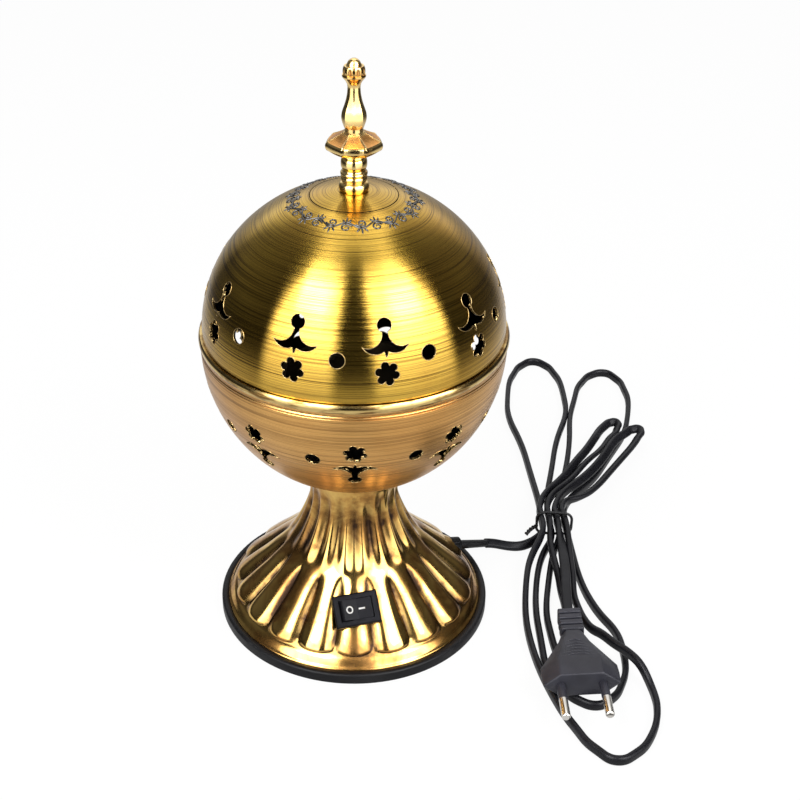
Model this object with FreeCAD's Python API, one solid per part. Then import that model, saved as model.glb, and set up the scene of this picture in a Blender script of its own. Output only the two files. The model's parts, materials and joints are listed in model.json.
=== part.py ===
import FreeCAD, Part
import math
import os

# Electric incense burner: a pierced brass ball on a fluted foot, with a lift-off lid and a switch.
# Lengths are millimetres. The axis of the ball is Z, the floor is z = 0 and the front faces -Y.
# Angles round the axis are counted from the front towards +X.

# Overall driving sizes
foot_ring_radius = 65.0
pedestal_height = 78.4
bowl_radius = 68.0
bowl_depth = 68.1
bowl_seat_radius = 19.24
rim_above_centre = 4.5
lid_step = 1.0
lid_rise = 65.0
sheet_wall = 1.2
seat_gap = 0.3
cut_overrun = 2.0
confusion_share = 1e-6

# Rubber ring under the foot
ring_wall = 3.2
ring_height = 5.0
ring_ledge_height = 2.0
ring_ledge_width = 7.7
ring_edge_round = 1.2
ring_fit_gap = 0.1

# Fluted foot
lobe_count = 19
# each row is height, crease radius and bulge, as shares of pedestal height and flange radius
pedestal_section_shares = [
    (0.0, 1.0, 0.0),
    (0.060, 1.0, 0.0),
    (0.078, 0.980, 0.0),
    (0.108, 0.950, 0.0),
    (0.128, 0.924, 0.004),
    (0.142, 0.908, 0.028),
    (0.162, 0.884, 0.041),
    (0.200, 0.832, 0.047),
    (0.262, 0.748, 0.048),
    (0.325, 0.664, 0.042),
    (0.385, 0.594, 0.030),
    (0.440, 0.538, 0.010),
    (0.490, 0.497, -0.010),
    (0.550, 0.455, -0.024),
    (0.630, 0.407, -0.031),
    (0.720, 0.363, -0.029),
    (0.800, 0.338, -0.020),
    (0.880, 0.333, -0.008),
    (0.940, 0.336, 0.0),
    (1.0, 0.341, 0.0),
]
# control points across one lobe and one flute: angles as shares of half a step, heights of the bulge
across_turn_shares = (-1.0, -0.70, -0.30, 0.30, 0.70, 1.0)
lobe_form_shares = (0.0, 0.85, 1.15, 1.15, 0.85, 0.0)
flute_form_shares = (0.0, 0.05, 1.25, 1.25, 0.05, 0.0)
pedestal_wall = 1.5
pedestal_web = 2.0

# Base plate, posts and screws
plate_thickness = 1.2
plate_gap = 0.4
post_count = 3
post_inset = 17.7
post_radius = 3.6
screw_radius = 1.5
screw_hole_gap = 0.1
screw_head_radius = 2.9
screw_head_height = 1.4
screw_length = 9.0

# Threaded tube with its nuts and washers
tube_radius = 5.0
tube_bore_radius = 3.5
tube_below_nut = 8.0
tube_gap = 0.1
nut_across_flats = 14.0
nut_thickness = 3.2
washer_radius = 9.0
washer_thickness = 1.0
tube_above_nut = 1.0

# Heater
cup_radius = 36.0
cup_wall = 0.8
cup_side_gap = 2.0
spacer_height = 16.0
spacer_radius = 3.2
mica_thickness = 1.0
ceramic_gap = 0.8
ceramic_height = 10.0
hot_plate_thickness = 2.0
hot_plate_gap = 0.4
cup_lip_over_plate = 1.5
heater_screw_count = 3
heater_screw_circle = 24.0
heater_screw_radius = 1.5
heater_screw_head = 2.8
heater_nut_radius = 2.9
heater_nut_height = 2.4
coil_section_radius = 1.6
coil_ring_radii = (10.5, 17.0, 30.0)
groove_gap = 0.2
terminal_radius = 1.4
terminal_length = 4.0
terminal_bury = 3.6
terminal_spread = 9.0
fuse_radius = 2.0
fuse_length = 11.0
fuse_offset = 13.0
clip_wall = 0.5
clip_width = 4.0
clip_ear = 4.0

# Incense tray
tray_floor_radius = 27.0
tray_rim_radius = 33.0
tray_depth = 8.0
tray_wall = 0.8
tray_lip = 1.4

# Bowl
bead_height = 4.0
bead_bulge = 0.75
rim_inset = 2.3
groove_drops = (1.2, 2.6)
groove_depth = 0.3
groove_width = 0.5

# Lid
lid_flat_radius = 7.0
lid_wall = 1.1
spigot_gap = 0.4
spigot_wall = 0.8
spigot_depth = 5.5
collar_top = 6.0
circle_groove_radius = 18.8
circle_groove_width = 0.5
circle_groove_depth = 0.25

# Finial, with heights counted from its foot
stud_radius = 2.0
stud_below_nut = 1.0
stud_in_finial = 7.0
finial_nut_flats = 7.0
finial_nut_thickness = 3.2
finial_washer_radius = 5.0
finial_washer_thickness = 0.8
finial_foot_radius = 5.9
finial_foot_bulge = 0.5
finial_foot_top = 3.6
ring_bead_radius = 5.65
ring_bead_height = 2.1
ring_bead_low = 4.5
waist_radius = 4.8
waist_groove = 0.6
stem_bead_low = 9.4
stem_bead_radius = 5.3
stem_bead_top = 14.6
parasol_low = 15.0
parasol_stem_radius = 4.6
parasol_radius = 12.2
parasol_top = 26.0
parasol_dip = 0.7
panel_count = 7
# each row is height between stem and collar, radius between stem and rim, and dip, as shares
parasol_row_shares = [
    (0.0, 0.0, 0.0),
    (0.10, 0.10, 0.0),
    (0.26, 0.52, 0.5),
    (0.38, 0.92, 1.0),
    (0.46, 1.0, 1.0),
    (0.62, 1.0, 1.0),
    (0.72, 0.88, 1.0),
    (0.84, 0.50, 0.7),
    (0.93, 0.14, 0.2),
    (1.0, 0.0, 0.0),
]
belly_collar_radius = 3.8
belly_low = 27.6
belly_foot_radius = 4.3
belly_radius = 5.4
belly_height = 32.0
belly_shoulder_radius = 4.5
belly_shoulder_height = 36.0
spire_radius = 2.9
spire_low_radius = 3.5
spire_low_height = 39.6
spire_mid_radius = 3.0
spire_mid_height = 42.0
spire_height = 44.4
flare_mid_radius = 3.4
flare_mid_height = 46.8
crown_radius = 5.2
crown_height = 49.2
crown_edge = 0.5
crown_top_radius = 4.3
crown_top_height = 53.4
tip_shoulder_radius = 2.4
tip_shoulder_height = 55.4
tip_flat_radius = 0.8
finial_height = 56.4

# Pierced pattern
lid_motif_angles = (-63.7, -22.3, 11.8, 51.7, 92.0, 132.5, 173.0, 213.5, 254.0)
bowl_motif_angles = (-40.3, 0.4, 40.4, 80.5, 120.0, 160.5, 200.0, 239.5, 279.5)
lid_motif_slope = 19.5
bowl_motif_slope = -26.0
dot_turn = 16.2
lid_dot_slope = 16.0
bowl_dot_slope = -21.9
dot_radius = 3.3
star_tip_radius = 5.2
star_valley_radius = 3.4
star_lobes = 6
star_drop = 9.9
star_turn = 15.0
ball_radius = 3.05
ball_rise = 9.8
horn_reach = 9.7
horn_rise = 1.7
horn_low_reach = 5.2
horn_low_drop = 1.6
horn_top_reach = 6.2
horn_top_rise = 1.0
neck_low_reach = 2.3
neck_low_rise = 3.4
neck_mid_reach = 1.5
neck_mid_rise = 5.0
neck_top_reach = 1.3
neck_top_rise = 7.1
spur_reach = 0.9
spur_root_drop = 0.9
spur_tip_reach = 0.35
spur_tip_drop = 3.0
punch_above = 3.0
punch_below = 7.0

# Rocker switch
switch_turn = 1.5
switch_tilt = 47.0
switch_roll = 9.5
switch_radius_share = 0.7164
switch_height_share = 0.3393
switch_sink = 1.0
bezel_length = 21.0
bezel_width = 15.0
bezel_height = 2.3
bezel_edge_round = 0.7
body_length = 18.8
body_width = 12.7
body_depth = 16.0
panel_gap = 0.15
rocker_opening_length = 15.6
rocker_opening_width = 9.8
rocker_gap = 0.2
rocker_centre_height = 1.9
rocker_half_angle = 12.0
rocker_keel = 5.0
pivot_radius = 1.2
pivot_gap = 0.05
pivot_length = 1.2
well_depth = 9.0
spade_width = 4.8
spade_thickness = 0.8
spade_length = 8.0
spade_spread = 3.6

# Terminal block
block_length = 18.0
block_width = 14.0
block_height = 12.0
block_x = 20.0
block_y = 14.0
block_turn = 25.0
block_bore_radius = 2.2
block_pole_spread = 4.5
block_screw_radius = 1.6
block_screw_sink = 0.4
block_screw_spread = 5.0
block_fixing_radius = 1.3
block_fixing_head_radius = 2.3
block_fixing_head_height = 2.0
block_fixing_end_gap = 0.2

# Leads inside the foot: hand-chosen places between the ends, which follow the pieces that they join
wire_radius = 1.0
wire_spread_in_tube = 1.7
wire_straight_at_spade = 3.0
wire_above_tube = 1.9
wire_below_terminal = 3.9
wire_tube_entry_height = 36.0
live_route = [(9.2, 4.0, 9.2), (5.5, -3.0, 8.0), (5.0, -12.0, 6.5), (4.6, -20.0, 5.6)]
switched_route = [(-4.0, -19.0, 5.8), (-6.0, -9.0, 9.0), (-4.0, -2.0, 20.0)]
neutral_route = [(5.4, 12.2, 9.2), (2.5, 8.0, 14.0), (1.8, 2.0, 26.0)]
live_core_route = [(36.8, 16.0, 12.5)]
neutral_core_route = [(36.2, 22.2, 13.0)]
core_straight = 4.5
core_spread = 1.3

# Rubber grommet with its tapered sleeve, where the cord leaves the foot
grommet_angle = 113.7
grommet_reach_share = 0.9044
grommet_height_share = 0.1722
grommet_dip = 14.0
grommet_radius = 4.0
grommet_hole_gap = 0.1
grommet_inside = 7.0
grommet_outside = 1.5
sleeve_length = 16.5
sleeve_root_width = 7.0
sleeve_root_thickness = 4.6
sleeve_end_width = 5.8
sleeve_end_thickness = 3.8

# Flat twin cord
cord_width = 5.0
cord_thickness = 3.0
cord_floor_gap = 0.1
cord_layer_gap = 1.5
route_round_share = 0.45
cord_end_straight = 4.0
lead_roll = 55.0
lead_route = [(79.0, 33.0, 4.6), (86.0, 34.9, 2.9), (92.4, 38.6, 3.0), (96.9, 43.0, 3.6)]
tail_route = [(105.6, 31.0, 10.9), (105.1, 16.0, 11.5), (104.3, 1.0, 12.0), (102.8, -12.0, 12.5)]

# Hank: its waist, and the loops that run up and down from it in turn
waist_x = 105.0
waist_y = 55.8
waist_behind = 3.5
waist_before = 8.0
hank_start_before = 4.8
waist_column_count = 4
waist_pitch = 4.0
waist_upper_shift = -1.2
waist_rise = 1.5
waist_lean_share = 0.6
hank_reach = 173.0
# each loop has its side (1 behind the waist, -1 before it), its lean, the waist column and layer it leaves,
# those it comes back to, and its points as shares: along and across the reach, and height in cord layers
hank_loop_shares = [
    (1, 2.6, 0, 0, 1, 0, [
        (0.34, -0.061, 0), (0.70, -0.107, 0), (0.89, -0.078, 0), (0.990, 0.0, 0), (0.90, 0.070, 0),
        (0.72, 0.092, 0), (0.377, 0.030, 0)]),
    (-1, 1.8, 1, 0, 3, 0, [
        (0.206, -0.070, 0), (0.48, -0.112, 0), (0.72, -0.088, 0), (0.797, -0.007, 0), (0.71, 0.080, 0),
        (0.56, 0.103, 0), (0.376, 0.051, 0)]),
    (1, 17.0, 3, 0, 2, 0, [
        (0.34, 0.096, 0), (0.64, 0.136, 0), (0.845, 0.101, 0), (0.952, 0.008, 0), (0.86, -0.054, 0),
        (0.70, -0.058, 0), (0.385, -0.020, 0)]),
    (-1, -2.2, 2, 0, 1, 1, [
        (0.20, -0.020, 0), (0.50, -0.048, 0), (0.62, -0.030, 0), (0.67, 0.0, 0), (0.62, 0.026, 0),
        (0.45, 0.007, 0), (0.37, -0.003, 0.35), (0.28, -0.012, 0.9), (0.16, -0.021, 1)]),
    (1, 26.0, 1, 1, 0, 1, [
        (0.25, -0.006, 1), (0.50, 0.016, 0.4), (0.60, 0.016, 0), (0.640, -0.002, 0), (0.60, -0.024, 0.1),
        (0.45, -0.025, 0.6), (0.25, -0.031, 1)]),
    (-1, 2.5, 0, 1, 3, 1, [
        (0.26, -0.117, 0.6), (0.49, -0.149, 0), (0.70, -0.132, 0), (0.864, -0.088, 0), (0.991, 0.002, 0),
        (0.90, 0.110, 0), (0.77, 0.145, 0), (0.655, 0.105, 1), (0.58, 0.052, 1), (0.50, 0.012, 0.6),
        (0.41, -0.002, 0.6), (0.28, 0.008, 1)]),
    (1, 35.6, 3, 1, 2, 1, [
        (0.156, 0.036, 1), (0.35, 0.034, 1), (0.53, 0.020, 1), (0.582, -0.002, 1), (0.53, -0.026, 1),
        (0.30, -0.014, 1)]),
]
gap_sample_step = 2.0
gap_skip_length = 14.0

# Twist tie round the waist
tie_thickness = 1.2
tie_width = 2.6
tie_gap = 0.3
tie_corner_round = 2.5
tie_y = 50.0
tie_tail_radius = 0.9
tie_tail_length = 6.5
tie_tail_turn = 125.0
tie_tail_height = 3.4

# Two-pin plug, with sizes along it counted from where the cord enters
plug_x = 101.6
plug_y = -31.0
plug_z = 12.6
rib_count = 4
rib_width = 10.8
rib_height = 8.4
rib_thickness = 2.3
rib_step = 4.0
rib_core_width = 8.6
rib_core_height = 6.2
plug_neck_width = 11.5
plug_neck_height = 8.5
plug_neck_start = 15.5
plug_shoulder_width = 15.0
plug_shoulder_height = 10.0
plug_shoulder_start = 20.0
plug_body_width = 35.3
plug_body_height = 14.0
plug_body_start = 31.0
plug_body_end = 42.0
plug_face_width = 34.3
plug_face_height = 12.7
plug_length = 48.5
plug_flat_share = 0.55
plug_corner_share = 0.3
pin_radius = 2.0
pin_length = 20.0
pin_spread = 9.5
pin_tip_round = 0.9


def vec(x, y, z):
    return FreeCAD.Vector(x, y, z)


def polar(radius, angle, height):
    turn = math.radians(angle)
    return vec(radius * math.sin(turn), -radius * math.cos(turn), height)


def lathe(start, moves):
    # moves are (radius, height) for a line, two pairs for an arc through the first, or more for a smooth curve
    here = vec(start[0], 0, start[1])
    first = here
    edges = []
    for move in moves:
        end = vec(move[-2], 0, move[-1])
        if len(move) == 2:
            edges.append(Part.makeLine(here, end))
        elif len(move) == 4:
            edges.append(Part.Arc(here, vec(move[0], 0, move[1]), end).toShape())
        else:
            curve = Part.BSplineCurve()
            curve.interpolate([here] + [vec(move[k], 0, move[k + 1]) for k in range(0, len(move), 2)])
            edges.append(curve.toShape())
        here = end
    if here.distanceToPoint(first) > 0:
        edges.append(Part.makeLine(here, first))
    face = Part.Face(Part.Wire(edges))
    return face.revolve(vec(0, 0, 0), vec(0, 0, 1), 360)


def disc(radius, low, high):
    return Part.makeCylinder(radius, high - low, vec(0, 0, low))


def ring(outer, inner, low, high):
    return disc(outer, low, high).cut(disc(inner, low - cut_overrun, high + cut_overrun))


def hex_prism(across_flats, low, high):
    corner = across_flats / 2 / math.cos(math.pi / 6)
    corners = [polar(corner, 60 * k, low) for k in range(7)]
    return Part.Face(Part.makePolygon(corners)).extrude(vec(0, 0, high - low))


def around(shape, angles):
    copies = []
    for angle in angles:
        copy = shape.copy()
        copy.rotate(vec(0, 0, 0), vec(0, 0, 1), angle)
        copies.append(copy)
    return copies


def even_angles(count):
    return [360 / count * k for k in range(count)]


def fluted_solid(rows, count):
    # rows are (height, crease radius, bulge); each lobe is one smooth face between two creases
    half_step = 180 / count
    row_count = len(rows)
    row_knots = list(range(row_count - 2))
    row_repeats = [4] + [1] * (row_count - 4) + [4]
    faces = []
    low_edges = []
    high_edges = []
    for k in range(count):
        net = []
        for height, radius, bulge in rows:
            form_shares = lobe_form_shares if bulge > 0 else flute_form_shares
            net.append([polar(radius + bulge * form, (2 * k + turn) * half_step, height)
                        for turn, form in zip(across_turn_shares, form_shares)])
        surface = Part.BSplineSurface()
        surface.buildFromPolesMultsKnots(net, row_repeats, [4, 1, 1, 4], row_knots, [0, 1, 2, 3],
                                         False, False, 3, 3)
        faces.append(surface.toShape())
        low_edges.append(surface.uIso(row_knots[0]).toShape())
        high_edges.append(surface.uIso(row_knots[-1]).toShape())
    faces.append(Part.Face(Part.Wire(low_edges)))
    faces.append(Part.Face(Part.Wire(high_edges)))
    shell = Part.makeShell(faces)
    shell.sewShape()
    solid = Part.makeSolid(shell)
    if solid.Volume < 0:
        solid.reverse()
    return solid


def octagon(width, height, corner_share, along):
    # an eight-sided outline standing square to the Y axis
    wide = width / 2
    high = height / 2
    corner = min(wide, high) * corner_share
    right_half = [(wide - corner, -high), (wide, -high + corner), (wide, high - corner), (wide - corner, high)]
    left_half = [(-x, -z) for x, z in right_half]
    points = [vec(x, along, z) for x, z in right_half + left_half]
    return Part.makePolygon(points + points[:1])


def hexagon(width, height, flat_share, along):
    # a six-sided outline with flat top and bottom, standing square to the Y axis
    wide = width / 2
    high = height / 2
    flat = wide * flat_share
    outline = [(flat, -high), (wide, 0), (flat, high), (-flat, high), (-wide, 0), (-flat, -high)]
    points = [vec(x, along, z) for x, z in outline]
    return Part.makePolygon(points + points[:1])


def rounded_route(points):
    # straight runs joined by tangent arcs, each as large as its two runs allow
    runs = [points[k + 1] - points[k] for k in range(len(points) - 1)]
    edges = []
    radii = []
    here = points[0]
    for k in range(1, len(points) - 1):
        before = runs[k - 1]
        after = runs[k]
        turn = before.getAngle(after)
        trim = route_round_share * min(before.Length, after.Length)
        arc_start = points[k] - before / before.Length * trim
        arc_end = points[k] + after / after.Length * trim
        to_middle = (arc_start + arc_end) / 2 - points[k]
        radius = trim / math.tan(turn / 2)
        corner_gap = radius / math.cos(turn / 2) - radius
        edges.append(Part.makeLine(here, arc_start))
        arc_middle = points[k] + to_middle / to_middle.Length * corner_gap
        edges.append(Part.Arc(arc_start, arc_middle, arc_end).toShape())
        radii.append(radius)
        here = arc_end
    edges.append(Part.makeLine(here, points[-1]))
    return Part.Wire(edges), radii


def swept(path, outline):
    sweep = Part.BRepOffsetAPI.MakePipeShell(path)
    sweep.add(outline)
    sweep.build()
    sweep.makeSolid()
    return sweep.shape()


def round_wire(points):
    heading = points[1] - points[0]
    outline = Part.Wire(Part.makeCircle(wire_radius, points[0], heading))
    return swept(rounded_route(points)[0], outline)


def flat_outline(start, heading, roll=0):
    # the section of the flat cord, standing on its edge or rolled about its heading
    across = heading.cross(vec(0, 0, 1)).normalize()
    upright = across.cross(heading).normalize()
    turned = FreeCAD.Rotation(heading, roll)
    across = turned.multVec(across)
    upright = turned.multVec(upright)
    half = (cord_width - cord_thickness) / 2
    side = cord_thickness / 2
    corners = [start + across * (x * side) + upright * (z * half)
               for x, z in ((1, -1), (1, 1), (-1, 1), (-1, -1))]
    top = start + upright * (half + side)
    bottom = start - upright * (half + side)
    return Part.Wire([
        Part.makeLine(corners[0], corners[1]),
        Part.Arc(corners[1], top, corners[2]).toShape(),
        Part.makeLine(corners[2], corners[3]),
        Part.Arc(corners[3], bottom, corners[0]).toShape()])


def ellipse_outline(centre, wide_axis, thin_axis, width, thickness):
    ellipse = Part.Ellipse(centre + wide_axis * (width / 2), centre + thin_axis * (thickness / 2), centre)
    return Part.Wire(ellipse.toShape())


def ellipse_radius(height, centre, across, along):
    return across * math.sqrt(1 - ((height - centre) / along) ** 2)


def dome(across, along, centre, low, high):
    # a solid half egg about the axis, cut off level at two heights
    side_tip = vec(across, 0, centre)
    end_tip = vec(0, 0, centre + along)
    tips = (end_tip, side_tip) if along > across else (side_tip, end_tip)
    ellipse = Part.Ellipse(tips[0], tips[1], vec(0, 0, centre))
    low_point = vec(ellipse_radius(low, centre, across, along), 0, low)
    high_point = vec(ellipse_radius(high, centre, across, along), 0, high)
    ends = sorted((ellipse.parameter(low_point), ellipse.parameter(high_point)))
    if ends[1] - ends[0] > math.pi:
        ends = [ends[1] - 2 * math.pi, ends[0]]
    arc = Part.ArcOfEllipse(ellipse, *ends).toShape()
    low_axis = vec(0, 0, low)
    high_axis = vec(0, 0, high)
    lines = [Part.makeLine(low_axis, low_point), Part.makeLine(high_point, high_axis),
             Part.makeLine(high_axis, low_axis)]
    outline = Part.Wire(Part.__sortEdges__([arc] + lines))
    return Part.Face(outline).revolve(vec(0, 0, 0), vec(0, 0, 1), 360)


def placed(shape, origin, right, up, out):
    copy = shape.copy()
    copy.Placement = FreeCAD.Placement(FreeCAD.Matrix(
        right.x, up.x, out.x, origin.x,
        right.y, up.y, out.y, origin.y,
        right.z, up.z, out.z, origin.z,
        0, 0, 0, 1))
    return copy


def facing(angle, slope):
    # right, up and out directions of a spot seen from outside
    turn = math.radians(angle)
    tilt = math.radians(slope)
    right = vec(math.cos(turn), math.sin(turn), 0)
    out = vec(math.cos(tilt) * math.sin(turn), -math.cos(tilt) * math.cos(turn), math.sin(tilt))
    return right, out.cross(right), out


def box(length, width, low, high):
    return Part.makeBox(length, width, high - low, vec(-length / 2, -width / 2, low))


def joined(shapes):
    whole = shapes[0]
    for shape in shapes[1:]:
        whole = whole.fuse(shape)
    return whole.removeSplitter()


def save(name, *solids):
    shape = solids[0] if len(solids) == 1 else Part.makeCompound(solids)
    parts[name] = shape
    shape.exportStep("parts/" + name + ".step")


os.makedirs("parts", exist_ok=True)
parts = {}

# Rubber ring: the foot stands in it and the base plate lies on its ledge
ring_bore = foot_ring_radius - ring_wall
flange_radius = ring_bore - ring_fit_gap
ring_inner_radius = flange_radius - ring_ledge_width
edge_dip = ring_edge_round * (1 - math.sqrt(0.5))
base_ring = lathe((ring_inner_radius, 0), [
    (foot_ring_radius, 0),
    (foot_ring_radius, ring_height - ring_edge_round),
    (foot_ring_radius - edge_dip, ring_height - edge_dip, foot_ring_radius - ring_edge_round, ring_height),
    (ring_bore, ring_height),
    (ring_bore, ring_ledge_height),
    (ring_inner_radius, ring_ledge_height)])
save("base_ring", base_ring)

# Fluted foot: a hollow bell closed on top by a web that the bowl stands on
rows = []
for height, radius, bulge in pedestal_section_shares:
    row_height = max(ring_ledge_height, height * pedestal_height)
    rows.append((row_height, radius * flange_radius, bulge * flange_radius))
foot_outside = fluted_solid(rows, lobe_count)
web_low = pedestal_height - pedestal_web
inner_points = [vec(radius + min(0, bulge * max(flute_form_shares)) - pedestal_wall, 0, height)
                for height, radius, bulge in rows if height < web_low]
inner_points[0].z = ring_ledge_height - cut_overrun
inner_points.append(vec(inner_points[-1].x, 0, web_low))
inner_side = Part.BSplineCurve()
inner_side.interpolate(inner_points)
cavity_face = Part.Face(Part.Wire([
    inner_side.toShape(),
    Part.makeLine(inner_points[-1], vec(0, 0, web_low)),
    Part.makeLine(vec(0, 0, web_low), vec(0, 0, inner_points[0].z)),
    Part.makeLine(vec(0, 0, inner_points[0].z), inner_points[0])]))
foot_cavity = cavity_face.revolve(vec(0, 0, 0), vec(0, 0, 1), 360)
foot = foot_outside.cut(foot_cavity)
foot = foot.cut(disc(tube_radius + tube_gap, web_low - cut_overrun, pedestal_height + cut_overrun))

# Rocker switch, built flat and then set on the front of the foot
switch_seat = polar(switch_radius_share * flange_radius, switch_turn, switch_height_share * pedestal_height)
right, up, out = facing(switch_turn, switch_tilt)
roll = FreeCAD.Rotation(out, switch_roll)
switch_right = roll.multVec(right)
switch_up = roll.multVec(up)
switch_seat = switch_seat - out * switch_sink


def on_switch_seat(shape):
    # keeps the turn or shift that the piece already has on the seat
    seated = placed(shape, switch_seat, switch_right, switch_up, out)
    seated.Placement = seated.Placement.multiply(shape.Placement)
    return seated


bezel = box(bezel_length, bezel_width, 0, bezel_height)
bezel_top_edges = [edge for edge in bezel.Edges if edge.BoundBox.ZMin > bezel_height / 2]
bezel = bezel.makeChamfer(bezel_edge_round, bezel_top_edges)
housing = bezel.fuse(box(body_length, body_width, -body_depth, 0)).removeSplitter()
rocker_well = box(rocker_opening_length, rocker_opening_width, -well_depth, bezel_height + cut_overrun)
housing = housing.cut(rocker_well)
pivot_reach = rocker_opening_width / 2 + pivot_length
pivot_bore = Part.makeCylinder(pivot_radius + pivot_gap, 2 * (pivot_reach + pivot_gap),
                               vec(0, -pivot_reach - pivot_gap, 0), vec(0, 1, 0))
housing = housing.cut(pivot_bore)
rocker_radius = rocker_opening_length / 2 - rocker_gap
rocker_width = rocker_opening_width - 2 * rocker_gap
drum = Part.makeCylinder(rocker_radius, rocker_width, vec(0, -rocker_width / 2, 0), vec(0, 1, 0))
wing_rise = rocker_radius * math.tan(math.radians(rocker_half_angle))
rocker_outline = Part.makePolygon([
    vec(-rocker_radius, -rocker_width, -rocker_keel),
    vec(rocker_radius, -rocker_width, -rocker_keel),
    vec(rocker_radius, -rocker_width, rocker_centre_height + wing_rise),
    vec(0, -rocker_width, rocker_centre_height),
    vec(-rocker_radius, -rocker_width, rocker_centre_height + wing_rise),
    vec(-rocker_radius, -rocker_width, -rocker_keel)])
rocker = drum.common(Part.Face(rocker_outline).extrude(vec(0, 2 * rocker_width, 0)))
pivot = Part.makeCylinder(pivot_radius, 2 * pivot_reach, vec(0, -pivot_reach, 0), vec(0, 1, 0))
rocker = rocker.fuse(pivot).removeSplitter()
rocker.rotate(vec(0, 0, 0), vec(0, 1, 0), rocker_half_angle)
spade = box(spade_width, spade_thickness, -body_depth - spade_length, -body_depth)
spade_places = (-spade_spread, spade_spread)
spades = []
for place in spade_places:
    copy = spade.copy()
    copy.translate(vec(place, 0, 0))
    spades.append(on_switch_seat(copy))
bezel_pocket = box(bezel_length + 2 * panel_gap, bezel_width + 2 * panel_gap, 0, bezel_length)
panel_hole = box(body_length + 2 * panel_gap, body_width + 2 * panel_gap, -body_depth, bezel_length)
foot = foot.cut([on_switch_seat(bezel_pocket), on_switch_seat(panel_hole)])

# Grommet of the cord, with the hole that it sits in
grommet_place = polar(grommet_reach_share * flange_radius, grommet_angle,
                      grommet_height_share * pedestal_height)
grommet_side, grommet_up, grommet_out = facing(grommet_angle, -grommet_dip)
sleeve_roll = FreeCAD.Rotation(grommet_out, lead_roll)
sleeve_wide = sleeve_roll.multVec(grommet_up)
sleeve_thin = sleeve_roll.multVec(grommet_side)
grommet_start = grommet_place - grommet_out * grommet_inside
sleeve_start = grommet_place + grommet_out * grommet_outside
sleeve_end = sleeve_start + grommet_out * sleeve_length
sleeve = Part.makeLoft([
    ellipse_outline(sleeve_start, sleeve_wide, sleeve_thin, sleeve_root_width, sleeve_root_thickness),
    ellipse_outline(sleeve_end, sleeve_wide, sleeve_thin, sleeve_end_width, sleeve_end_thickness)], True, True)
grommet_plug = Part.makeCylinder(grommet_radius, grommet_inside + grommet_outside, grommet_start, grommet_out)
grommet_hole = Part.makeCylinder(grommet_radius + grommet_hole_gap, grommet_inside + 2 * grommet_radius,
                                 grommet_start, grommet_out)
foot = foot.cut(grommet_hole)
save("pedestal", foot)
save("cord_grommet", grommet_plug.fuse(sleeve).removeSplitter())
save("switch_housing", on_switch_seat(housing))
save("switch_rocker", on_switch_seat(rocker))
save("switch_terminals", *spades)

# Base plate with its screws, and the posts inside the foot that take them
plate_low = ring_ledge_height
plate_high = plate_low + plate_thickness
plate_radius = inner_points[0].x - plate_gap
post_angles = even_angles(post_count)
post_circle_radius = flange_radius - post_inset
post_start = 180 / post_count / 2
screw_hole_radius = screw_radius + screw_hole_gap
post_blank = Part.makeCylinder(post_radius, web_low - plate_high,
                               polar(post_circle_radius, post_start, plate_high))
screw_hole = Part.makeCylinder(screw_hole_radius, screw_length + cut_overrun,
                               polar(post_circle_radius, post_start, plate_low - cut_overrun))
post = post_blank.common(foot_cavity).cut(screw_hole)
screw_shank = Part.makeCylinder(screw_radius, screw_length, polar(post_circle_radius, post_start, plate_low))
screw_head = Part.makeCylinder(screw_head_radius, screw_head_height,
                               polar(post_circle_radius, post_start, plate_low - screw_head_height))
screw = screw_shank.fuse(screw_head).removeSplitter()
base_plate = disc(plate_radius, plate_low, plate_high).cut(around(screw_hole, post_angles))
save("base_posts", *around(post, post_angles))
save("base_screws", *around(screw, post_angles))

# Bowl: spun sheet with a rolled bead at its rim and a level seat on the foot
bowl_centre_height = pedestal_height + bowl_depth
bowl_depth_radius = bowl_depth / math.sqrt(1 - (bowl_seat_radius / bowl_radius) ** 2)
rim_height = bowl_centre_height + rim_above_centre
rim_inner_radius = bowl_radius - rim_inset
bead_low = rim_height - bead_height
bowl_floor = pedestal_height + sheet_wall
rim_radius = ellipse_radius(bead_low, bowl_centre_height, bowl_radius, bowl_depth_radius)
bowl_inside = dome(bowl_radius - sheet_wall, bowl_depth_radius - sheet_wall, bowl_centre_height,
                   bowl_floor, bead_low)
bead = lathe((0, bead_low), [
    (rim_radius, bead_low),
    (rim_radius + bead_bulge, (bead_low + rim_height) / 2, rim_radius, rim_height),
    (0, rim_height)])
bowl = dome(bowl_radius, bowl_depth_radius, bowl_centre_height, pedestal_height, bead_low).fuse(bead)
bowl = bowl.cut(bowl_inside).cut(disc(rim_inner_radius, bead_low, rim_height + cut_overrun))
bowl = bowl.cut(disc(tube_radius + tube_gap, pedestal_height - cut_overrun, bowl_floor + cut_overrun))
groove_core = dome(bowl_radius - groove_depth, bowl_depth_radius - groove_depth, bowl_centre_height,
                   bead_low - 2 * bead_height, bead_low)
for drop in groove_drops:
    groove = disc(bowl_radius + bead_height, bead_low - drop - groove_width, bead_low - drop)
    bowl = bowl.cut(groove.cut(groove_core))

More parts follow.
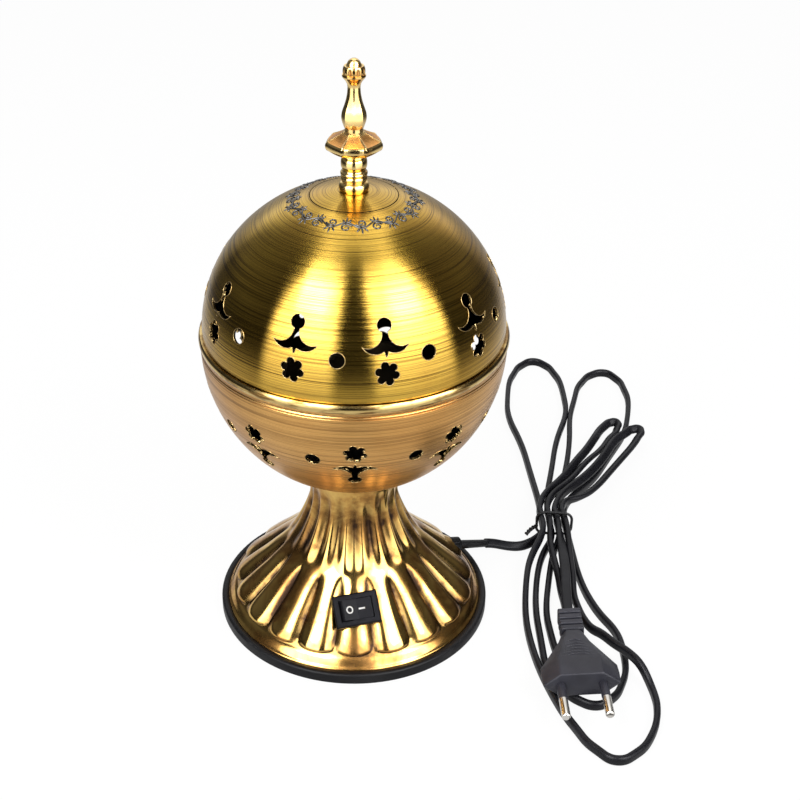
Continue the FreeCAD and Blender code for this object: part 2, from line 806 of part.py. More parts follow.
# Lid: a spun dome with a collar inside that keeps it centred in the bowl
lid_radius = bowl_radius - lid_step
lid_edge = rim_height + seat_gap
lid_top = lid_edge + lid_rise * math.sqrt(1 - (lid_flat_radius / lid_radius) ** 2)
lid_under = lid_top - lid_wall
lid_inner_radius = lid_radius - lid_wall
lid_inner_rise = lid_rise - lid_wall
lid_inside = dome(lid_inner_radius, lid_inner_rise, lid_edge, lid_edge, lid_under)
lid = dome(lid_radius, lid_rise, lid_edge, lid_edge, lid_top).cut(lid_inside)
lid = lid.cut(disc(stud_radius + tube_gap, lid_under - cut_overrun, lid_top + cut_overrun))
circle_core = dome(lid_radius - circle_groove_depth, lid_rise - circle_groove_depth, lid_edge,
                   lid_edge, lid_top)
circle_outer = circle_groove_radius + circle_groove_width / 2
circle_inner = circle_groove_radius - circle_groove_width / 2
lid = lid.cut(ring(circle_outer, circle_inner, lid_edge, lid_top + cut_overrun).cut(circle_core))
spigot_outer = rim_inner_radius - spigot_gap
spigot_inner = spigot_outer - spigot_wall
spigot = ring(spigot_outer, spigot_inner, lid_edge - spigot_depth, lid_edge + collar_top)
collar_seat = ring(lid_radius, spigot_inner, lid_edge, lid_edge + collar_top).common(lid_inside)
save("lid_collar", spigot.common(lid_inside).fuse(collar_seat)
     .fuse(ring(spigot_outer, spigot_inner, lid_edge - spigot_depth, lid_edge)).removeSplitter())


# Pierced pattern: star, stem with two horns and a ball, and a round hole beside them
def star_face():
    step = 360 / star_lobes
    edges = []
    for k in range(star_lobes):
        middle = k * step + star_turn
        ends = [polar(star_valley_radius, middle + side * step / 2, 0) for side in (-1, 1)]
        tip = polar(star_tip_radius, middle, 0)
        edges.append(Part.Arc(*[vec(p.x, p.y, 0) for p in (ends[0], tip, ends[1])]).toShape())
    return Part.Face(Part.Wire(edges))


def anchor_face():
    def side(sign):
        spur = vec(sign * spur_reach, -spur_root_drop, 0)
        horn = vec(sign * horn_reach, horn_rise, 0)
        neck = vec(sign * neck_low_reach, neck_low_rise, 0)
        neck_top = vec(sign * neck_top_reach, neck_top_rise, 0)
        return [
            Part.makeLine(vec(sign * spur_tip_reach, -spur_tip_drop, 0), spur),
            Part.Arc(spur, vec(sign * horn_low_reach, -horn_low_drop, 0), horn).toShape(),
            Part.Arc(horn, vec(sign * horn_top_reach, horn_top_rise, 0), neck).toShape(),
            Part.Arc(neck, vec(sign * neck_mid_reach, neck_mid_rise, 0), neck_top).toShape()]
    bridge = [Part.makeLine(vec(-neck_top_reach, neck_top_rise, 0), vec(neck_top_reach, neck_top_rise, 0)),
              Part.makeLine(vec(-spur_tip_reach, -spur_tip_drop, 0), vec(spur_tip_reach, -spur_tip_drop, 0))]
    return Part.Face(Part.Wire(Part.__sortEdges__(side(1) + side(-1) + bridge)))


def punches(angle, slope, dot_slope, dot_angle, surface_radius, centre, upside_down):
    star = star_face()
    star.translate(vec(0, -star_drop, 0))
    ball = Part.Face(Part.Wire(Part.makeCircle(ball_radius, vec(0, ball_rise, 0))))
    dot = Part.Face(Part.Wire(Part.makeCircle(dot_radius)))
    tools = []
    for face, turn, tilt in ((star, angle, slope), (anchor_face(), angle, slope), (ball, angle, slope),
                             (dot, dot_angle, dot_slope)):
        right, up, out = facing(turn, tilt)
        if upside_down:
            right = right * -1
            up = up * -1
        prism = face.extrude(vec(0, 0, punch_above + punch_below))
        tools.append(placed(prism, vec(0, 0, centre) + out * (surface_radius - punch_below), right, up, out))
    return tools


lid_tools = []
for angle in lid_motif_angles:
    lid_tools += punches(angle, lid_motif_slope, lid_dot_slope, angle + dot_turn, lid_radius, lid_edge, False)
lid = lid.cut(lid_tools)
save("lid_dome", lid)
bowl_tools = []
for angle in bowl_motif_angles:
    bowl_tools += punches(angle, bowl_motif_slope, bowl_dot_slope, angle - dot_turn, bowl_radius,
                          bowl_centre_height, True)
bowl = bowl.cut(bowl_tools)
save("bowl", bowl)


# Finial: a turned knob with a ribbed parasol, screwed down through the lid
def finial_point(radius, height):
    return (radius, lid_top + height)


def finial_bead(bulge_radius, low, high, end_radius):
    return (bulge_radius, lid_top + (low + high) / 2, end_radius, lid_top + high)


ring_middle = ring_bead_low + ring_bead_height
ring_top = ring_middle + ring_bead_height
finial_stem = lathe(finial_point(0, 0), [
    finial_point(finial_foot_radius, 0),
    finial_bead(finial_foot_radius + finial_foot_bulge, 0, finial_foot_top, finial_foot_radius),
    finial_point(ring_bead_radius - waist_groove, ring_bead_low),
    finial_bead(ring_bead_radius, ring_bead_low, ring_middle, ring_bead_radius - waist_groove / 2),
    finial_bead(ring_bead_radius, ring_middle, ring_top, ring_bead_radius - waist_groove),
    finial_point(waist_radius, stem_bead_low),
    finial_bead(stem_bead_radius, stem_bead_low, stem_bead_top, waist_radius),
    finial_point(parasol_stem_radius, parasol_low),
    finial_point(0, parasol_low)])
crown = lathe(finial_point(0, parasol_top), [
    finial_point(belly_collar_radius, parasol_top),
    finial_point(belly_collar_radius, belly_low),
    finial_point(belly_foot_radius, belly_low),
    finial_point(belly_radius, belly_height) + finial_point(belly_shoulder_radius, belly_shoulder_height)
    + finial_point(spire_low_radius, spire_low_height) + finial_point(spire_mid_radius, spire_mid_height)
    + finial_point(spire_radius, spire_height) + finial_point(flare_mid_radius, flare_mid_height)
    + finial_point(crown_radius, crown_height),
    finial_point(crown_radius, crown_height + crown_edge),
    finial_point(crown_top_radius, crown_top_height),
    finial_point(tip_shoulder_radius, tip_shoulder_height),
    finial_point(tip_flat_radius, finial_height),
    finial_point(0, finial_height)])
parasol_span = parasol_top - parasol_low
parasol_reach = parasol_radius - parasol_stem_radius
parasol_rows = []
for height, reach, dip in parasol_row_shares:
    row_height = lid_top + parasol_low + height * parasol_span
    parasol_rows.append((row_height, parasol_stem_radius + reach * parasol_reach, -dip * parasol_dip))
parasol = fluted_solid(parasol_rows, panel_count)
stud_hole = disc(stud_radius + tube_gap, lid_top - cut_overrun, lid_top + stud_in_finial)
finial = finial_stem.cut(stud_hole).fuse(parasol).fuse(crown)
save("finial", finial)
finial_nut_top = lid_under - finial_washer_thickness
finial_nut_low = finial_nut_top - finial_nut_thickness
finial_bore = disc(stud_radius + tube_gap, finial_nut_low - cut_overrun, lid_top)
save("finial_washer", disc(finial_washer_radius, finial_nut_top, lid_under).cut(finial_bore))
save("finial_nut", hex_prism(finial_nut_flats, finial_nut_low, finial_nut_top).cut(finial_bore))
save("finial_stud", disc(stud_radius, finial_nut_low - stud_below_nut, lid_top + stud_in_finial))

# Threaded tube that ties the foot, the bowl and the heater cup together
cup_share = (cup_radius + cup_side_gap) / (bowl_radius - sheet_wall)
cup_low = bowl_centre_height - (bowl_depth_radius - sheet_wall) * math.sqrt(1 - cup_share ** 2)
cup_floor = cup_low + cup_wall
lower_nut_top = web_low - washer_thickness
bowl_nut_low = bowl_floor + washer_thickness
tube_low = lower_nut_top - nut_thickness - tube_below_nut
tube_top = cup_floor + nut_thickness + tube_above_nut
tube_bore = disc(tube_radius + tube_gap, tube_low - cut_overrun, tube_top + cut_overrun)
nut_lows = (lower_nut_top - nut_thickness, bowl_nut_low, cup_low - nut_thickness, cup_floor)
save("threaded_tube", ring(tube_radius, tube_bore_radius, tube_low, tube_top))
save("tube_nuts", *[hex_prism(nut_across_flats, low, low + nut_thickness).cut(tube_bore) for low in nut_lows])
save("tube_washers", *[disc(washer_radius, low, low + washer_thickness).cut(tube_bore)
                       for low in (lower_nut_top, bowl_floor)])

# Heater: a steel cup holding a ceramic disc with its coil under a hot plate
mica_low = cup_floor + spacer_height
ceramic_low = mica_low + mica_thickness
plate_seat = ceramic_low + ceramic_height
plate_top = plate_seat + hot_plate_thickness
cup_top = plate_top + cup_lip_over_plate
ceramic_radius = cup_radius - cup_wall - ceramic_gap
hot_plate_radius = cup_radius - cup_wall - hot_plate_gap
heater_angles = [angle + 180 / heater_screw_count for angle in even_angles(heater_screw_count)]


def heater_pin(radius, low, high):
    return around(Part.makeCylinder(radius, high - low, polar(heater_screw_circle, 0, low)), heater_angles)


heater_screw_end = cup_low - heater_nut_height - screw_hole_gap
heater_hole_radius = heater_screw_radius + screw_hole_gap
heater_holes = heater_pin(heater_hole_radius, heater_screw_end - cut_overrun, plate_top + cut_overrun)
cup_hollow = disc(cup_radius - cup_wall, cup_floor, cup_top + cut_overrun)
heater_cup = disc(cup_radius, cup_low, cup_top).cut(cup_hollow)
save("heater_cup", heater_cup.cut([tube_bore] + heater_holes))
save("heater_spacers", *[post.cut(heater_holes) for post in heater_pin(spacer_radius, cup_floor, mica_low)])
terminal_low = mica_low - terminal_length
terminal_top = ceramic_low + terminal_bury


def terminal_pins(radius, low):
    return [Part.makeCylinder(radius, terminal_top - low, vec(side * terminal_spread, 0, low))
            for side in (-1, 1)]


terminals = terminal_pins(terminal_radius, terminal_low)
terminal_holes = terminal_pins(terminal_radius + screw_hole_gap, mica_low - cut_overrun)
save("mica_disc", disc(ceramic_radius, mica_low, ceramic_low).cut(heater_holes + terminal_holes))
ceramic = disc(ceramic_radius, ceramic_low, plate_seat).cut(heater_holes + terminal_holes)
coil_height = plate_seat - coil_section_radius - 2 * groove_gap
coils = []
for radius in coil_ring_radii:
    groove_reach = coil_section_radius + groove_gap
    ceramic = ceramic.cut(ring(radius + groove_reach, radius - groove_reach, coil_height - coil_section_radius,
                               plate_seat + cut_overrun))
    coils.append(Part.makeTorus(radius, coil_section_radius, vec(0, 0, coil_height)))
save("ceramic_disc", ceramic)
save("heating_coil", *coils)
save("heater_terminals", *terminals)
head_low = plate_top - heater_screw_head * math.tan(math.pi / 6)
screw_heads = heater_pin(heater_screw_head, head_low, plate_top)
shanks = heater_pin(heater_screw_radius, heater_screw_end, head_low)
head_seats = heater_pin(heater_screw_head + screw_hole_gap, head_low, plate_top + cut_overrun)
save("hot_plate", disc(hot_plate_radius, plate_seat, plate_top).cut(heater_holes + head_seats))
save("heater_screws", *[joined([head, shank]) for head, shank in zip(screw_heads, shanks)])
nut_blanks = heater_pin(heater_nut_radius, cup_low - heater_nut_height, cup_low)
save("heater_nuts", *[nut.cut(heater_holes) for nut in nut_blanks])
fuse_height = mica_low - fuse_radius
fuse_start = vec(-fuse_length / 2, fuse_offset, fuse_height)
save("thermal_fuse", Part.makeCylinder(fuse_radius, fuse_length, fuse_start, vec(1, 0, 0)))
clip_reach = fuse_radius + clip_wall
clip = Part.makeBox(clip_width, 2 * clip_reach, clip_reach + fuse_radius,
                    vec(-clip_width / 2, fuse_offset - clip_reach, mica_low - clip_reach - fuse_radius))
clip = clip.fuse(Part.makeBox(clip_width, 2 * (clip_reach + clip_ear), clip_wall,
                              vec(-clip_width / 2, fuse_offset - clip_reach - clip_ear, mica_low - clip_wall)))
hollow_corner = vec(-clip_width / 2 - cut_overrun, fuse_offset - fuse_radius, mica_low - 2 * fuse_radius)
clip_hollow = Part.makeBox(clip_width + 2 * cut_overrun, 2 * fuse_radius, 2 * fuse_radius, hollow_corner)
save("fuse_clip", clip.removeSplitter().cut(clip_hollow))

# Tray for the incense, lying loose on the hot plate
tray_low = plate_top + seat_gap
tray_top = tray_low + tray_depth
tray = lathe((0, tray_low), [
    (tray_floor_radius, tray_low),
    (tray_rim_radius - tray_lip, tray_top - tray_wall),
    (tray_rim_radius, tray_top - tray_wall),
    (tray_rim_radius, tray_top),
    (tray_rim_radius - tray_lip - tray_wall, tray_top),
    (tray_floor_radius - tray_wall, tray_low + tray_wall),
    (0, tray_low + tray_wall)])
save("incense_tray", tray)

# Terminal block on the base plate, where the cord's two cores meet the leads of the switch and the heater
block_out = vec(math.cos(math.radians(block_turn)), math.sin(math.radians(block_turn)), 0)
block_across = vec(-block_out.y, block_out.x, 0)
block_up = vec(0, 0, 1)
block_place = vec(block_x, block_y, plate_high)
bore_height = block_height / 2
block_solid = box(block_length, block_width, 0, block_height)
screw_hole_radius = block_screw_radius + screw_hole_gap
screw_low = bore_height + wire_radius + screw_hole_gap
screw_rise = block_height - block_screw_sink - screw_low
block_tools = []
block_screw_solids = []
for pole in (-block_pole_spread, block_pole_spread):
    block_tools.append(Part.makeCylinder(block_bore_radius, block_length + 2 * cut_overrun,
                                         vec(-block_length / 2 - cut_overrun, pole, bore_height), vec(1, 0, 0)))
    for end in (-block_screw_spread, block_screw_spread):
        block_tools.append(Part.makeCylinder(screw_hole_radius, block_height, vec(end, pole, bore_height)))
        block_screw_solids.append(Part.makeCylinder(block_screw_radius, screw_rise, vec(end, pole, screw_low)))
fixing_head_low = block_height / 2
fixing_gap_radius = block_fixing_radius + screw_hole_gap
fixing_head_gap_radius = block_fixing_head_radius + screw_hole_gap
block_tools.append(disc(fixing_gap_radius, -cut_overrun, block_height + cut_overrun))
block_tools.append(disc(fixing_head_gap_radius, fixing_head_low, block_height + cut_overrun))
fixing_length = fixing_head_low + plate_thickness - block_fixing_end_gap
fixing_screw = disc(block_fixing_radius, fixing_head_low - fixing_length, fixing_head_low)
fixing_head = disc(block_fixing_head_radius, fixing_head_low, fixing_head_low + block_fixing_head_height)
block_screw_solids.append(joined([fixing_screw, fixing_head]))


def on_block(shape):
    return placed(shape, block_place, block_out, block_across, block_up)


def block_bore_end(along, pole):
    return block_place + block_out * along + block_across * pole + block_up * bore_height


save("terminal_block", on_block(block_solid.cut(block_tools)))
save("block_screws", *[on_block(screw) for screw in block_screw_solids])
plate_hole = Part.makeCylinder(fixing_gap_radius, plate_thickness + 2 * cut_overrun,
                               vec(block_x, block_y, plate_low - cut_overrun))
save("base_plate", base_plate.cut(plate_hole))


# Leads inside the foot and up through the tube to the heater
def spade_end(place):
    start = switch_seat + switch_right * place - out * (body_depth + spade_length)
    return start, start - out * wire_straight_at_spade


def heater_end(side):
    rise = tube_top + wire_above_tube
    return [vec(side * wire_spread_in_tube, 0, wire_tube_entry_height),
            vec(side * wire_spread_in_tube, 0, rise),
            vec(side * terminal_spread, 0, terminal_low - wire_below_terminal),
            vec(side * terminal_spread, 0, terminal_low)]


def middle_points(route):
    return [vec(*point) for point in route]


live_spade, live_turn = spade_end(spade_spread)
switched_spade, switched_turn = spade_end(-spade_spread)
live_pole = block_bore_end(-block_screw_spread, -block_pole_spread)
neutral_pole = block_bore_end(-block_screw_spread, block_pole_spread)
save("live_lead", round_wire([live_pole] + middle_points(live_route) + [live_turn, live_spade]))
switched_points = [switched_spade, switched_turn] + middle_points(switched_route)
save("switched_lead", round_wire(switched_points + heater_end(-1)))
save("neutral_lead", round_wire([neutral_pole] + middle_points(neutral_route) + heater_end(1)))


def cord_core(side, route):
    start = grommet_start + grommet_side * (side * core_spread)
    pole = side * block_pole_spread
    mouth = block_bore_end(block_length / 2 + wire_straight_at_spade, pole)
    points = [start, start - grommet_out * core_straight] + middle_points(route)
    return round_wire(points + [mouth, block_bore_end(block_screw_spread, pole)])


save("cord_cores", cord_core(-1, live_core_route), cord_core(1, neutral_core_route))

# Hank of flat cord: every loop leaves the waist in one column and comes back in another
floor_level = cord_width / 2 + cord_floor_gap
layer_rise = cord_width + cord_layer_gap


def waist_point(column, layer, side):
    reach = waist_behind if side > 0 else waist_before
    across = (column - (waist_column_count - 1) / 2) * waist_pitch + layer * waist_upper_shift
    return vec(waist_x + across, waist_y + side * reach, floor_level + waist_rise + layer * layer_rise)


def waist_heading(side, lean):
    turn = math.radians(lean * waist_lean_share)
    return vec(math.sin(turn), side * math.cos(turn), 0)


def loop_point(side, lean, along, across, layer):
    turn = math.radians(lean)
    forward = vec(math.sin(turn), side * math.cos(turn), 0)
    aside = vec(math.cos(turn), -side * math.sin(turn), 0)
    place = forward * (along * hank_reach) + aside * (across * hank_reach)
    return place + vec(waist_x, waist_y, floor_level + layer * layer_rise)


def hank_route():
    first_column = waist_point(hank_loop_shares[0][2], hank_loop_shares[0][3], -1)
    points = [vec(first_column.x, waist_y - hank_start_before, first_column.z)]
    headings = [vec(0, 1, 0)]
    for side, lean, leave, leave_layer, back, back_layer, places in hank_loop_shares:
        first = len(points)
        points.append(waist_point(leave, leave_layer, side))
        points += [loop_point(side, lean, *place) for place in places]
        points.append(waist_point(back, back_layer, side))
        headings.append(waist_heading(side, lean))
        for k in range(first + 1, len(points) - 1):
            heading = points[k + 1] - points[k - 1]
            headings.append(vec(heading.x, heading.y, 0).normalize())
        headings.append(waist_heading(side, lean) * -1)
    points.append(waist_point(back, back_layer, -1))
    headings.append(vec(0, -1, 0))
    return points, headings


def tangent_arc(start, heading, end):
    # the arc that leaves the start along the heading and passes through the end, and its radius
    chord = end - start
    aside = heading - chord * (heading.dot(chord) / chord.dot(chord))
    if aside.Length < confusion_share:
        return Part.makeLine(start, end), 0
    angle = heading.getAngle(chord)
    middle = (start + end) / 2 + aside.normalize() * (chord.Length / 2 * math.tan(angle / 2))
    return Part.Arc(start, middle, end).toShape(), chord.Length / 2 / math.sin(angle)


def biarc(start, start_heading, end, end_heading):
    # two tangent arcs between two points with a heading at each
    across = end - start
    along = across.dot(start_heading + end_heading)
    spread = 2 * (1 - start_heading.dot(end_heading))
    if spread < confusion_share:
        reach = across.dot(across) / (4 * across.dot(end_heading))
    else:
        reach = (math.sqrt(along * along + spread * across.dot(across)) - along) / spread
    joint = (start + end + (start_heading - end_heading) * reach) / 2
    joint_heading = (end - start - (start_heading + end_heading) * reach).normalize()
    return [tangent_arc(start, start_heading, joint), tangent_arc(joint, joint_heading, end)]


def least_gap(edges):
    # distance between strands that stand on edge, taken between points along the whole hank
    samples = []
    run = 0
    for edge in edges:
        count = max(1, int(edge.Length / gap_sample_step))
        step = edge.Length / count
        for k in range(count):
            point = edge.valueAt(edge.FirstParameter + (edge.LastParameter - edge.FirstParameter) * k / count)
            samples.append((run + step * k, point.x, point.y, point.z))
        run += edge.Length
    least = hank_reach
    for k, (run, x, y, z) in enumerate(samples):
        for other_run, other_x, other_y, other_z in samples[k + 1:]:
            beside = math.hypot(other_x - x, other_y - y) - cord_thickness
            above = abs(other_z - z) - cord_width
            if other_run - run > gap_skip_length and max(beside, above) < least:
                least = max(beside, above)
    return least


hank_points, hank_headings = hank_route()
hank_arcs = []
for k in range(len(hank_points) - 1):
    hank_arcs += biarc(hank_points[k], hank_headings[k], hank_points[k + 1], hank_headings[k + 1])
hank_edges = [edge for edge, radius in hank_arcs]
hank_path = Part.Wire(hank_edges)
hank = swept(hank_path, flat_outline(hank_points[0], hank_headings[0]))
save("cord_hank", hank)

# The free stretches: from the sleeve to the hank, and from the hank to the plug
plug_start = vec(plug_x, plug_y, plug_z)
end_straight = vec(0, cord_end_straight, 0)
lead_points = [sleeve_end, sleeve_end + grommet_out * cord_end_straight] + middle_points(lead_route)
lead_points += [hank_points[0] - end_straight, hank_points[0]]
tail_points = [hank_points[-1], hank_points[-1] - end_straight] + middle_points(tail_route)
tail_points += [plug_start + end_straight, plug_start]
section_area = Part.Face(flat_outline(hank_points[0], hank_headings[0])).Area
for name, points, roll in (("cord_lead", lead_points, lead_roll), ("cord_tail", tail_points, 0)):
    path, radii = rounded_route(points)
    tube = swept(path, flat_outline(points[0], (points[1] - points[0]).normalize(), roll))
    save(name, tube)
    print(name, "length", round(path.Length, 1), "radii", [round(radius, 1) for radius in radii],
          "volume share", round(tube.Volume / (section_area * path.Length), 4))
hank_volume_share = hank.Volume / (section_area * hank_path.Length)
print("cord_hank length", round(hank_path.Length, 1), "volume share", round(hank_volume_share, 4),
      "tightest radii", sorted(round(radius, 1) for edge, radius in hank_arcs if radius > 0)[:6],
      "least gap", round(least_gap(hank_edges), 2))

# Twist tie round the waist of the hank, with its twisted tail
half_thick = cord_thickness / 2
bundle_left = waist_point(0, 1, -1).x - half_thick - tie_gap
bundle_right = waist_point(3, 0, -1).x + half_thick + tie_gap
bundle_low = waist_point(0, 0, -1).z - cord_width / 2 - tie_gap
bundle_high = waist_point(0, 1, -1).z + cord_width / 2 + tie_gap


def tie_loop(margin, width):
    block = Part.makeBox(bundle_right - bundle_left + 2 * margin, width, bundle_high - bundle_low + 2 * margin,
                         vec(bundle_left - margin, tie_y - width / 2, bundle_low - margin))
    along_edges = [edge for edge in block.Edges if edge.BoundBox.YLength > width / 2]
    return block.makeFillet(tie_corner_round - tie_thickness + margin, along_edges)


tie = tie_loop(tie_thickness, tie_width).cut(tie_loop(0, tie_width + 2 * cut_overrun))
tail_turn = math.radians(tie_tail_turn)
tail_start = vec(bundle_left - tie_thickness / 2, tie_y, bundle_low + tie_tail_height)
tail = Part.makeCylinder(tie_tail_radius, tie_tail_length, tail_start,
                         vec(math.cos(tail_turn + math.pi / 2), math.cos(tail_turn), 0))
save("cord_tie", tie.fuse(tail.cut(tie_loop(0, tie_width + 2 * cut_overrun))).removeSplitter())

# Plug with ribbed neck and two pins, lying on the strands of the hank
plug_outlines = [
    hexagon(plug_neck_width, plug_neck_height, plug_flat_share, -plug_neck_start),
    hexagon(plug_shoulder_width, plug_shoulder_height, plug_flat_share, -plug_shoulder_start),
    hexagon(plug_body_width, plug_body_height, plug_flat_share, -plug_body_start),
    hexagon(plug_body_width, plug_body_height, plug_flat_share, -plug_body_end),
    hexagon(plug_face_width, plug_face_height, plug_flat_share, -plug_length)]
plug = Part.makeLoft(plug_outlines, True, True)
plug = plug.fuse(Part.Face(octagon(rib_core_width, rib_core_height, plug_corner_share, 0)).extrude(
    vec(0, -plug_neck_start, 0)))
for k in range(rib_count):
    rib = Part.Face(octagon(rib_width, rib_height, plug_corner_share, -k * rib_step))
    plug = plug.fuse(rib.extrude(vec(0, -rib_thickness, 0)))
plug = plug.removeSplitter()
plug.translate(plug_start)
save("plug_body", plug)
pin_tip = plug_length + pin_length
pins = []
for side in (-1, 1):
    pin = Part.makeCylinder(pin_radius, pin_length, vec(side * pin_spread, -plug_length, 0), vec(0, -1, 0))
    tip_edges = [edge for edge in pin.Edges if edge.BoundBox.YMax < -pin_tip + pin_tip_round]
    pin = pin.makeFillet(pin_tip_round, tip_edges)
    pin.translate(plug_start)
    pins.append(pin)
save("plug_pins", *pins)
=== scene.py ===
import json
import math

import bpy
from mathutils import Matrix, Vector

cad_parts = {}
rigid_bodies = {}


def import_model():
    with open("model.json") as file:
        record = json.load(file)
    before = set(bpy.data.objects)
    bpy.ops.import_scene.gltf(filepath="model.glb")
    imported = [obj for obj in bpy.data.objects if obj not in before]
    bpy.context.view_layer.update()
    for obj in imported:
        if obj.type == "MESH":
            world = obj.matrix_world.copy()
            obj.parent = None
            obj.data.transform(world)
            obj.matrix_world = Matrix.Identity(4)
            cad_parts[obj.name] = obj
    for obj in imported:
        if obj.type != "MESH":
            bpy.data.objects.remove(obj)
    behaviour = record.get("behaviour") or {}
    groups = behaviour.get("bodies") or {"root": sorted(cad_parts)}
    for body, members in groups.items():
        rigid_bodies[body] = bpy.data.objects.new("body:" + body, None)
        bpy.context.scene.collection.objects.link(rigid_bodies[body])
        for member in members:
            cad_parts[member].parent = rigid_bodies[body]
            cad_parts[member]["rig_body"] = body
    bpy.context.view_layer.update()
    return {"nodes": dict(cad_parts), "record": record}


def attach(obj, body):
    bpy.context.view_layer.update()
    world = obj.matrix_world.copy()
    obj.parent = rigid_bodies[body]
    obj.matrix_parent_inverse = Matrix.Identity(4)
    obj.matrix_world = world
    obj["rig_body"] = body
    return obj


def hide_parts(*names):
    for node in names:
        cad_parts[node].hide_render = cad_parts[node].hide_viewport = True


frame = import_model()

cadNodes = frame["nodes"]
bodyOfNode = {name: node["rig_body"] for name, node in cadNodes.items()}
slotOfNode = {row["node"]: row["material_slot"] for row in frame["record"]["subparts"]}
mm = 0.001
print("frame loaded:", len(cadNodes), "nodes")


def pickNothing():
    if bpy.context.object and bpy.context.object.mode != "OBJECT":
        bpy.ops.object.mode_set(mode="OBJECT")
    bpy.ops.object.select_all(action="DESELECT")


def pickOnly(piece):
    pickNothing()
    piece.select_set(True)
    bpy.context.view_layer.objects.active = piece


def newPiece(name, data):
    piece = bpy.data.objects.new(name, data)
    bpy.context.scene.collection.objects.link(piece)
    return piece


def paint(piece, finish):
    piece.data.materials.clear()
    piece.data.materials.append(finish)


def mergeDoubles(piece, within, turnOutwards=False):
    pickOnly(piece)
    bpy.ops.object.mode_set(mode="EDIT")
    bpy.ops.mesh.select_all(action="SELECT")
    bpy.ops.mesh.remove_doubles(threshold=within)
    if turnOutwards:
        bpy.ops.mesh.normals_make_consistent(inside=False)
    bpy.ops.object.mode_set(mode="OBJECT")


def cleanCopy(nodeName, angle=32):
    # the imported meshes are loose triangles; a merged copy can be shaded smooth
    piece = newPiece(nodeName + "Finished", cadNodes[nodeName].data.copy())
    mergeDoubles(piece, 0.002 * mm)
    bpy.ops.object.shade_smooth_by_angle(angle=math.radians(angle))
    return piece


def standIn(piece, nodeName, finish):
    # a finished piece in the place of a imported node
    paint(piece, finish)
    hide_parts(nodeName)
    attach(piece, bodyOfNode[nodeName])
    return piece


def addOn(piece, name, nodeName, finish):
    # a small extra piece on a node's body
    piece.name = name
    paint(piece, finish)
    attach(piece, bodyOfNode[nodeName])
    return piece


def bakePlace(piece):
    pickOnly(piece)
    bpy.ops.object.transform_apply(location=True, rotation=True, scale=True)


def wrappedGrid(name, columns, rows, placeAt):
    # a grid bent round the axis, with the patina of each point, on the foot with painted shade as well;
    # closeForm then joins its seam and poles
    pickNothing()
    bpy.ops.mesh.primitive_grid_add(x_subdivisions=columns, y_subdivisions=rows, size=2.0)
    piece = bpy.context.object
    piece.name = name
    mesh = piece.data
    tone = mesh.attributes.new("patina", "FLOAT", "POINT")
    for spot in mesh.vertices:
        row = round((spot.co.y + 1) / 2 * rows)
        spot.co, tone.data[spot.index].value = placeAt(row, (spot.co.x + 1) / 2)
    return piece


def closeForm(piece):
    mergeDoubles(piece, 0.01 * mm, True)


def roundCurve(name, depth, resolution):
    curve = bpy.data.curves.new(name, "CURVE")
    curve.dimensions = "3D"
    curve.bevel_depth = depth * mm
    curve.bevel_resolution = resolution
    curve.use_fill_caps = True
    return curve


def smoothLine(curve, line, resolution, closed=False):
    # adds a smooth line that passes along the places, and gives its points
    made = curve.splines.new("NURBS")
    made.points.add(len(line) - 1)
    for spot, (place, _) in zip(made.points, line):
        spot.co = (place.x * mm, place.y * mm, place.z * mm, 1)
    made.order_u = 3
    made.use_endpoint_u = not closed
    made.use_cyclic_u = closed
    made.resolution_u = resolution
    return made.points


def strokes(name, lines, depth, closed=False):
    # round strokes along smooth lines, whose points each have a share of the width
    curve = roundCurve(name, depth, 2)
    for line in lines:
        for spot, (_, width) in zip(smoothLine(curve, line, 6, closed), line):
            spot.radius = width
    pickOnly(newPiece(name, curve))
    bpy.ops.object.convert(target="MESH")
    bpy.ops.object.shade_smooth()
    return bpy.context.object


def joinAll(parts):
    pickOnly(parts[0])
    for part in parts[1:]:
        part.select_set(True)
    bpy.ops.object.join()
    return parts[0]


def applyAll(piece):
    pickOnly(piece)
    for modifier in list(piece.modifiers):
        bpy.ops.object.modifier_apply(modifier=modifier.name)


# the finishes and the studio are built with this small kit
class NodeKit:
    def __init__(self, owner):
        owner.use_nodes = True
        self.tree = owner.node_tree
        self.tree.nodes.clear()

    def feed(self, node, socketName, value):
        socket = node.inputs[socketName]
        if isinstance(value, bpy.types.NodeSocket):
            self.tree.links.new(value, socket)
        elif hasattr(value, "__len__"):
            socket.default_value = tuple(value) + (1.0,) * (len(socket.default_value) - len(value))
        elif value is not None:
            socket.default_value = value

    def add(self, kind, *values, operation=None, **named):
        node = self.tree.nodes.new("ShaderNode" + kind)
        if operation:
            node.operation = operation
        for index, value in enumerate(values):
            self.feed(node, index, value)
        for name, value in named.items():
            self.feed(node, name.replace("_", " "), value)
        return node

    def math(self, operation, first, second=None):
        return self.add("Math", first, second, operation=operation).outputs[0]

    def times(self, first, second):
        return self.math("MULTIPLY", first, second)

    def plus(self, first, second):
        return self.math("ADD", first, second)

    def parts(self, vector):
        return self.add("SeparateXYZ", vector).outputs

    def vector(self, x, y, z):
        return self.add("CombineXYZ", x, y, z).outputs[0]

    def noise(self, vector, scale, detail=3.0, roughness=0.5, distortion=0.0):
        return self.add("TexNoise", Vector=vector, Scale=scale, Detail=detail, Roughness=roughness,
                        Distortion=distortion).outputs["Fac"]

    def ramp(self, value, low, high, lowOut=0.0, highOut=1.0):
        node = self.add("MapRange", value, low, high, lowOut, highOut)
        node.interpolation_type = "SMOOTHSTEP"
        return node.outputs[0]

    def mix(self, share, first, second):
        node = self.add("Mix")
        node.data_type = "RGBA"
        for index, value in ((0, share), (6, first), (7, second)):
            self.feed(node, index, value)
        return node.outputs[2]

    def mixShaders(self, share, first, second):
        return self.add("MixShader", share, first, second).outputs[0]


